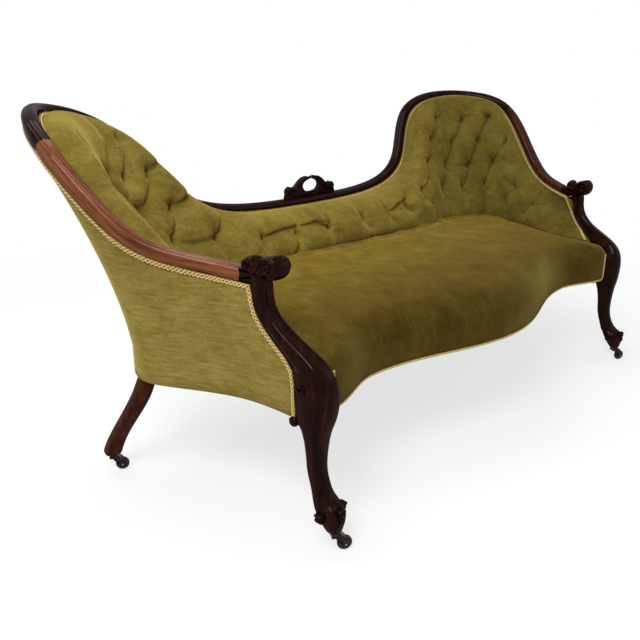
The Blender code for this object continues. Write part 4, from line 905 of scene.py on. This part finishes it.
def front_braid():
    # down the left end of the seat's front, along its lower edge and up the right end
    row = SEAT_OUTER[:, :len(ROLL_LINE)]
    inset = 0.5 * GIMP_WIDTH
    up = np.array((0, 0, 1))
    low = row[:, 0] + up * inset
    low[:, 1:2] -= ROLL[1, 1] * (inset / (ROLL[1, 0] - ROLL[0, 0])) * NARROW
    tangent = unit(np.gradient(low, axis=0))
    face = points(tangent[:, 1], -tangent[:, 0], 0)
    keep = (low[:, 0] > low[0, 0] + inset) & (low[:, 0] < low[-1, 0] - inset)
    low, face = low[keep], face[keep]
    climb = row[0, ::-1]
    climb = climb[climb[:, 2] > ROLL[0, 0] + GIMP_WIDTH] + (inset, 0, 0)
    ahead = np.tile((0, -1, 0), (len(climb), 1))
    over = np.tile((1, 0, 0), (len(climb), 1))
    middle = np.vstack((climb, low - up * 0.003 - face * 0.0014, climb[::-1] * FLIP))
    side = np.vstack((over, up + 0.8 * face, -over))
    normal = np.vstack((ahead, face - 0.8 * up, ahead))
    parts = braid_parts(middle + unit(normal) * BRAID_LIFT, side, normal, 0.7)
    piece("front_braid", parts, BRAID, "braid", ("front_gimp",), ground=BRAID_GAP_SHADE)


front_braid()


# Show-wood top rails: moulded section with a bead between two rounds
SECTION = catmull((
    (-0.017, -0.015), (-0.017, -0.006), (-0.017, 0.001), (-0.0155, 0.0065), (-0.012, 0.0105),
    (-0.0075, 0.0124), (-0.003, 0.0127), (-0.0002, 0.0118), (0.0012, 0.0136), (0.004, 0.0146),
    (0.0075, 0.0142), (0.0104, 0.0124), (0.0114, 0.0106), (0.0136, 0.0106), (0.0162, 0.0082),
    (0.0178, 0.005), (0.0185, 0.001), (0.0184, -0.006), (0.017, -0.0125), (0.0155, -0.0165),
    (-0.002, -0.0165),
), 3, closed=True)
U_SCARF = knots[3] + 0.75 * (knots[4] - knots[3])
U_DIP = knots[8] + 0.35 * (knots[9] - knots[8])
HALF_GAP = 0.5 * GAP / half_run


def top_rail(name, u0, u1, look, slot):
    us = np.linspace(u0, u1, int(abs(u1 - u0) * half_run / 0.007) + 2)
    p, _, outward, upward = rail_frames(us)
    rings = p[:, None] + outward[:, None] * SECTION[:, :1] + upward[:, None] * SECTION[:, 1:]
    grain = points(lengths(p)[:, None], lengths(SECTION)).reshape(-1, 2)
    piece(name + "_moulding", [loft(rings)], look, slot, (name,), crease=50, grain=grain)


# the right arm rail takes the darker copy of the arm wood, painted shade
top_rail("right_arm_rail", GAP / half_run, U_SCARF - HALF_GAP, ARM_WOOD_SHADED, "arm_wood")
top_rail("left_arm_rail", 2 - GAP / half_run, 2 - U_SCARF + HALF_GAP, ARM_WOOD, "arm_wood")
top_rail("right_spoon_rail", U_SCARF + HALF_GAP, U_DIP - HALF_GAP, SHOW_WOOD, "show_wood")
top_rail("left_spoon_rail", 2 - U_SCARF - HALF_GAP, 2 - U_DIP + HALF_GAP, SHOW_WOOD, "show_wood")
top_rail("centre_back_rail", U_DIP + HALF_GAP, 2 - U_DIP - HALF_GAP, SHOW_WOOD, "show_wood")


# Front legs: cabriole with knee, beaded stump, leaf ankle and scrolled head
def bend(v, power):
    return np.sign(v) * np.abs(v) ** power


def leg_sections(z):
    front, rear, x, width = spline(LEG[:, 0], LEG[:, 1:5])(z).T
    square = np.clip(np.interp(z, LEG[:, 0], LEG[:, 5]), 2.3, 8)
    return front, rear, x, width, square


RIDGE_HEIGHT = 0.0034
HOLLOW_DEPTH = 0.0042
LEAF_HEIGHT = 0.0042
VEIN_DEPTH = 0.0016
BEAD_RADIUS = 0.0027
BEAD_PITCH = 0.0066


def leg_shaft():
    z = np.linspace(LEG[0, 0], LEG[-1, 0], 216)
    front, rear, x, width, square = (v[:, None] for v in leg_sections(z))
    z = z[:, None]
    turn = 2 * np.pi * (np.arange(132) + 0.5) / 132
    c, s = np.cos(turn), np.sin(turn)
    # squareness in front, on the outer side and behind
    knee = smooth((z - 0.24) / 0.08)
    ahead = 2.5 + 1.1 * knee
    outer = 2.5 - 1 * knee + 0.6 * smooth((z - 0.46) / 0.05)
    power = np.where(s > 0, 2 / square, np.where(c > 0, 2 / outer, 2 / ahead))
    px = 0.5 * width * bend(c, power)
    py = 0.5 * (rear - front) * bend(s, power)
    nx, ny = bend(c, 2 - power), bend(s, 2 - power)
    size = np.hypot(nx, ny)
    # two ridges with a hollow between them down the front of the stump
    facing = smooth(-ny / size)
    head = smooth((0.57 - z) / 0.02)
    ridge = np.exp(-((np.abs(px) - 0.31 * width) / 0.006) ** 2) * facing
    swell = RIDGE_HEIGHT * ridge * smooth((z - 0.345) / 0.1) * head
    hollow = np.exp(-(px / (0.2 * width)) ** 2) * facing
    swell -= HOLLOW_DEPTH * hollow * smooth((z - 0.4) / 0.06) * head
    # leaves with veins round the ankle
    leaf = np.cos(2.5 * (turn + 0.5 * np.pi)) ** 2
    above = z - (0.094 + 0.02 * leaf)
    swell += LEAF_HEIGHT * smooth(above / 0.005) * np.exp(-np.maximum(0, above) / 0.018)
    veins = np.abs(np.sin(5 * (turn + 0.5 * np.pi)))
    swell -= VEIN_DEPTH * (1 - veins) * smooth((z - 0.086) / 0.012) * smooth((0.13 - z) / 0.02)
    y = 0.5 * (front + rear) + (py + swell * ny / size)
    return loft(points(x + (px + swell * nx / size), y, z))


def flank_beads():
    # two beads down each flank of the stump, beside its rear edge, swinging in to the knee
    z = np.linspace(0.372, 0.558, 48)
    front, rear, x, width, square = leg_sections(z)
    half = 0.5 * (rear - front)
    lead = np.interp(z, (0.36, 0.392, 0.42, 0.47, 0.56), (0.027, 0.018, 0.009, 0.004, 0.0036))
    parts = []
    for away in (0, BEAD_PITCH):
        py = half - lead - away
        px = 0.5 * width * (1 - np.abs(py / half) ** square) ** (1 / square)
        for side in (-1, 1):
            path = points(x + side * (px - 0.0005), 0.5 * (front + rear) + py, z)
            parts.append(tube(path, BEAD_RADIUS, 10))
    return parts


HEAD_WIDTH = 0.044
HEAD_LEAN = 0.22
HEAD_TOP = ARM_HEIGHT + 0.046
BULB = (ARM_Y - 0.0815, HEAD_TOP - 0.0265)
CURL = (ARM_Y - 0.029, HEAD_TOP - 0.0215)


def arc(centre, across, up, degrees):
    angle = np.radians(degrees)
    return points(centre[0] + across * np.cos(angle), centre[1] + up * np.sin(angle))


def head_outline():
    # front volute, saddle, back curl, end on the arm rail and underside: y, z
    bulb = arc(BULB, 0.0245, 0.0265, -60 - 22 * np.arange(10))
    saddle = np.array(((-0.06, -0.007), (-0.051, -0.013), (-0.045, -0.0145))) + (ARM_Y, HEAD_TOP)
    curl = arc(CURL, 0.0145, 0.0145, 170 - 40 * np.arange(6))
    end = np.array(((-0.012, 0.015), (-0.003, 0.014), (-0.003, 0), (-0.003, -0.0155)))
    under = np.array(((-0.222, -0.0165), (-0.248, -0.0165))) + (0, ARM_HEIGHT)
    return catmull(np.vstack((bulb, saddle, curl, end + (ARM_Y, ARM_HEIGHT), under)), 4, closed=True)


def volute(centre, radius, inner, turns, degrees, x):
    t = np.linspace(0, 1, int(26 * turns) + 6)
    r = radius + (inner - radius) * t ** 0.8
    angle = math.radians(degrees) + 2 * np.pi * turns * t
    return points(x, centre[0] + r * np.cos(angle), centre[1] + r * np.sin(angle))


def leaned(x, y, z):
    # the head leans outward as it goes back
    return points(ARM_X + x + HEAD_LEAN * (y - ARM_Y), y, z)


def right_of(outline):
    # the direction to the right of a closed outline at each of its points
    edge = unit(np.roll(outline, -1, 0) - np.roll(outline, 1, 0))
    return points(edge[:, 1], -edge[:, 0])


def scroll_head():
    outline = head_outline()
    half = 0.5 * HEAD_WIDTH * (1 - 0.14 * smooth((outline[:, 0] - ARM_Y + 0.068) / 0.034))
    rings = []
    for angle in np.radians(np.linspace(-90, 90, 17)):
        inset = 0.0085 * (1 - math.cos(angle)) ** 1.2
        rings.append(leaned(half * math.sin(angle), *(outline + right_of(outline) * inset).T))
    parts = [loft(rings)]
    # S-shaped ridge from the eye of the back curl to the eye of the front volute, on each side
    inner = volute(CURL, 0.0112, 0.0024, 1.1, 250, 0)[::-1]
    outer = volute(BULB, 0.0205, 0.0036, 1.35, 50, 0)
    dip = ((ARM_Y - 0.043, 0.584), (ARM_Y - 0.051, 0.59), (ARM_Y - 0.06, 0.602))
    path = catmull(np.vstack((inner[::3, 1:], dip, outer[::3, 1:])), 4)
    share = np.linspace(0, 1, len(path))
    size = np.interp(share, (0, 0.3, 0.75, 1), (0.003, 0.0046, 0.0046, 0.003))
    for side in (-1, 1):
        x = side * np.interp(path[:, 0], (ARM_Y - 0.068, ARM_Y - 0.034), (0.0222, 0.0192))
        parts.append(tube(leaned(x, *path.T), size, sideways=True))
    return parts


def coil(thick, thin, *shape):
    path = volute(*shape)
    return tube(path, np.linspace(thick, thin, len(path)), sideways=True)


EAR = (-0.3485, 0.2805)
EAR_ROLL = ((0.712, 0.007), (0.7145, 0.0105), (0.719, 0.0118), (0.74, 0.0112), (0.762, 0.0118),
            (0.7665, 0.0108), (0.769, 0.008))
# Curled leaf ends of the foot: place, the way each faces in x and y, size
TOES = ((0.741, -0.4615, 0.096, 0, -1, 0.0098), (0.742, -0.465, 0.08, 0, -1, 0.006),
        (0.7745, -0.434, 0.088, 1, 0, 0.0098), (0.708, -0.434, 0.088, -1, 0, 0.0098))


def ear_and_toes():
    # bead's hook on the knee, small curl under the cover's corner, and the toes
    parts = [coil(0.0034, 0.0024, (-0.3755, 0.3665), 0.0125, 0.003, 1, 170, 0.7755)]
    turn = np.linspace(0, 360, 25)[:-1]
    parts.append(loft([points(x, *arc(EAR, r, r, turn).T) for x, r in EAR_ROLL]))
    parts.append(coil(0.0022, 0.0014, EAR, 0.0088, 0.0015, 1.6, 40, 0.7682))
    turn = np.linspace(0, 2.6 * np.pi, 30)
    for x, y, z, dx, dy, size in TOES:
        across = np.array((dy, -dx, 0))
        r = size * (1 - 0.26 * turn / np.pi)
        path = np.outer(r * np.cos(turn + 0.6), (dx, dy, 0)) + np.array((x, y, z))
        path = path + np.outer(r * np.sin(turn + 0.6), (0, 0, 1))
        path = path + np.outer(np.linspace(-0.5, 0.5, 30) * size, across) * 0.2
        for push in (-0.55, 0, 0.55):
            parts.append(tube(path + across * push * size, 0.45 * size))
    return parts


leg_parts = [leg_shaft()] + flank_beads() + scroll_head() + ear_and_toes()
pair("front_leg_carved", leg_parts, SHOW_WOOD, "show_wood", "front_leg", crease=60)


# Crest: two leaf scrolls whose tips meet over a pierced oval, on a low plinth; x and height, right half
CREST_OUTER = ((0.0025, 0.072), (0.022, 0.0745), (0.042, 0.069), (0.06, 0.056), (0.073, 0.043),
               (0.083, 0.036), (0.092, 0.04), (0.102, 0.0425), (0.112, 0.038), (0.1175, 0.028),
               (0.1155, 0.017))
CREST_HOLE = ((0, 0.0135), (0.018, 0.0165), (0.029, 0.027), (0.033, 0.041), (0.029, 0.055),
              (0.018, 0.0645), (0.006, 0.069))
CREST_HALF_THICK = 0.0072
# Ridges along the leaf's upper edge to the volute at its end, along its middle and along its foot
CREST_RIBS = (
    ((0.008, 0.059), (0.024, 0.058), (0.04, 0.051), (0.053, 0.039), (0.064, 0.0275), (0.076, 0.0225),
     (0.09, 0.0285), (0.1, 0.027), (0.103, 0.0195), (0.097, 0.014), (0.09, 0.017), (0.093, 0.0215)),
    ((0.036, 0.05), (0.046, 0.039), (0.05, 0.028), (0.058, 0.016), (0.074, 0.01), (0.092, 0.007)),
    ((0.004, 0.005), (0.024, 0.0065), (0.04, 0.012), (0.052, 0.007), (0.076, 0.003)),
)


def crest():
    p, _, outward, upward = (v[0] for v in rail_frames(1))
    base = p + outward * 0.0055 + upward * 0.014

    def place(line, side, y):
        flat = np.outer(side * line[:, 0], (1, 0, 0)) + np.outer(line[:, 1], upward)
        return base + flat - outward * y

    outer = catmull(CREST_OUTER, 5) * (0.93, 0.82)
    hole = catmull(CREST_HOLE, 5) * (1.24, 0.82)
    outline = np.vstack((outer, ((0.1115, 0.003), (0.1115, -0.004), (0, -0.004)), hole))
    parts = []
    for side in (-1, 1):
        rings = []
        for angle in np.radians(np.linspace(-90, 90, 11)):
            inset = outline - right_of(outline) * 0.0022 * (1 - math.cos(angle)) ** 1.2
            rings.append(place(inset, side, CREST_HALF_THICK * math.sin(angle)))
        parts.append(loft(rings))
        for face in (-1, 1):
            for rib in CREST_RIBS:
                line = catmull(rib, 6)
                share = np.linspace(0, 1, len(line))
                size = np.interp(share, (0, 0.25, 0.7, 1), (0.0016, 0.0046, 0.0042, 0.0022))
                parts.append(tube(place(line, side, face * 0.0062), size))
    piece("crest_leaves", parts, SHOW_WOOD, "show_wood", ("crest_carving",), crease=50)


crest()


# Back legs: splayed, rounded square
U_LEG = knots[4]
LEG_BLOCK = 0.036
LEG_BLOCK_THICK = 0.034
LEG_TOP = COVER_BOTTOM - 0.001
BACK_SQUARE = 4.5
leg_speed = np.linalg.norm(base_at(U_LEG + 0.001) - base_at(U_LEG - 0.001)) / 0.002
du_leg = 0.5 * LEG_BLOCK / leg_speed
block_base, block_in = base_frames(np.array((U_LEG - du_leg, U_LEG + du_leg)))
block_a, block_b = block_base + block_in * (COVER_THICK + GAP)
block_along = unit(block_b - block_a)
block_inward = np.array((-block_along[1], block_along[0], 0))
# Height, width and depth of the back leg
BACK_SIZES = np.array((
    (FOOT_BOTTOM, 0.039, 0.039), (0.056, 0.041, 0.041), (0.088, 0.04, 0.04), (0.112, 0.039, 0.039),
    (0.142, 0.04, 0.039), (0.172, 0.041, 0.04), (0.202, 0.042, 0.041), (0.232, 0.043, 0.041),
    (0.262, 0.042, 0.04), (LEG_TOP, LEG_BLOCK, LEG_BLOCK_THICK),
    (RAIL_TOP, LEG_BLOCK, LEG_BLOCK_THICK),
))


def back_leg():
    block = 0.5 * (block_a + block_b) + block_inward * 0.5 * LEG_BLOCK_THICK
    shift = np.array((BACK_FOOT[0] - block[0], BACK_FOOT[1] - block[1], 0))
    z = np.concatenate((np.linspace(FOOT_BOTTOM, LEG_TOP, 70), (0.32, RAIL_TOP)))
    wide = np.interp(z, BACK_SIZES[:, 0], BACK_SIZES[:, 1])
    deep = np.interp(z, BACK_SIZES[:, 0], BACK_SIZES[:, 2])
    t = np.clip((LEG_TOP - z) / (LEG_TOP - FOOT_BOTTOM), 0, 1)
    f = 0.45 * smooth(t) + 0.55 * t ** 1.15
    angle = 2 * np.pi * (np.arange(40) + 0.5) / 40
    ax = bend(np.cos(angle), 2 / BACK_SQUARE)
    ay = bend(np.sin(angle), 2 / BACK_SQUARE)
    mid = block + shift * f[:, None]
    rings = mid[:, None] + block_along * (0.5 * wide[:, None] * ax)[..., None]
    rings = rings + block_inward * (0.5 * deep[:, None] * ay)[..., None]
    rings[:, :, 2] = z[:, None]
    return [loft(rings)]


pair("back_leg_shaped", back_leg(), LEG_WOOD, "show_wood", "back_leg", crease=60)


# Solids whose shape is right: finishes and eased edges
FINISHES = (
    (("_castor_plate", "_castor_horn"), IRON, 0.0008),
    (("_castor_axle",), PIN, 0.0004),
    (("_castor_wheel",), WHEEL, 0.0006),
    (("_seat_rail", "_cross_rail", "_corner_block", "_post", "_upright"), BEECH, 0.001),
    (("seat_webbing", "seat_hessian"), JUTE, 0),
    (("dust_cover",), CALICO, 0),
)


def finish_node(ob, look, ease=0, soft=35):
    ob.data.materials.clear()
    ob.data.materials.append(look)
    if ease > 0:
        mod = ob.modifiers.new("eased", "BEVEL")
        mod.width = ease
        mod.segments = 3
        mod.limit_method = "ANGLE"
        mod.angle_limit = math.radians(soft)
    ob.data.polygons.foreach_set("use_smooth", np.ones(len(ob.data.polygons), bool))
    ob.data.set_sharp_from_angle(angle=math.radians(soft))


for name in NODES:
    for endings, look, ease in FINISHES:
        if name.endswith(endings):
            finish_node(NODES[name], look, ease)
    if name.startswith("spring_"):
        finish_node(NODES[name], STEEL, soft=60)


# Floor, backdrop and studio light
def shown(tree):
    # 1 where the backdrop is seen straight, in gloss or through glass
    path = node(tree, "ShaderNodeLightPath", {}).outputs
    seen = path["Is Camera Ray"]
    for ray in ("Is Glossy Ray", "Is Transmission Ray"):
        seen = node(tree, "ShaderNodeMath", {0: seen, 1: path[ray]}, operation="MAXIMUM").outputs[0]
    return seen


def floor():
    size = 14
    mesh = bpy.data.meshes.new("floor")
    corners = [(-size, -size, 0), (size, -size, 0), (size, size, 0), (-size, size, 0)]
    mesh.from_pydata(corners, [], [(0, 1, 2, 3)])
    ob = link("floor", mesh)
    mat = bpy.data.materials.new("floor")
    mat.use_nodes = True
    tree = mat.node_tree
    tree.nodes.clear()
    where = node(tree, "ShaderNodeTexCoord", {}).outputs["Object"]
    away = node(tree, "ShaderNodeVectorMath", {0: where}, operation="LENGTH").outputs["Value"]
    fade = span(tree, away, From_Min=0.9, From_Max=2.6, To_Min=0.72).outputs["Result"]
    share = node(tree, "ShaderNodeMath", {0: shown(tree), 1: fade}, operation="MULTIPLY").outputs[0]
    pale = node(tree, "ShaderNodeBsdfDiffuse", {"Color": (0.86, 0.86, 0.86, 1)}).outputs[0]
    glow = node(tree, "ShaderNodeEmission", {}).outputs[0]
    both = node(tree, "ShaderNodeMixShader", {"Fac": share, 1: pale, 2: glow}).outputs[0]
    node(tree, "ShaderNodeOutputMaterial", {"Surface": both})
    mesh.materials.append(mat)


def lamp(name, place, aim, size, power):
    data = bpy.data.lights.new(name, "AREA")
    data.shape = "DISK"
    data.size = size
    data.energy = power
    ob = link(name, data)
    ob.location = place
    way = np.array(aim, float) - np.array(place, float)
    flat = math.hypot(way[0], way[1])
    ob.rotation_euler = (math.atan2(flat, -way[2]), 0, math.atan2(way[1], way[0]) - math.pi / 2)


def surroundings():
    world = bpy.data.worlds.new("studio")
    bpy.context.scene.world = world
    world.use_nodes = True
    tree = world.node_tree
    tree.nodes.clear()
    light = node(tree, "ShaderNodeBackground", {"Color": (1, 0.98, 0.95, 1), "Strength": 0.34}).outputs[0]
    white = node(tree, "ShaderNodeBackground", {"Color": (*WHITE, 1), "Strength": 1}).outputs[0]
    both = node(tree, "ShaderNodeMixShader", {"Fac": shown(tree), 1: light, 2: white}).outputs[0]
    node(tree, "ShaderNodeOutputWorld", {"Surface": both})


floor()
lamp("key", (-2.6, -1.2, 3), (-0.2, 0, 0.4), 1.6, 110)
lamp("fill", (2.4, -3, 2), (0, 0, 0.4), 2, 14)
lamp("top", (-0.4, 0.9, 3.2), (0, 0, 0.4), 2.2, 70)
surroundings()
bpy.context.scene.view_settings.view_transform = "Standard"
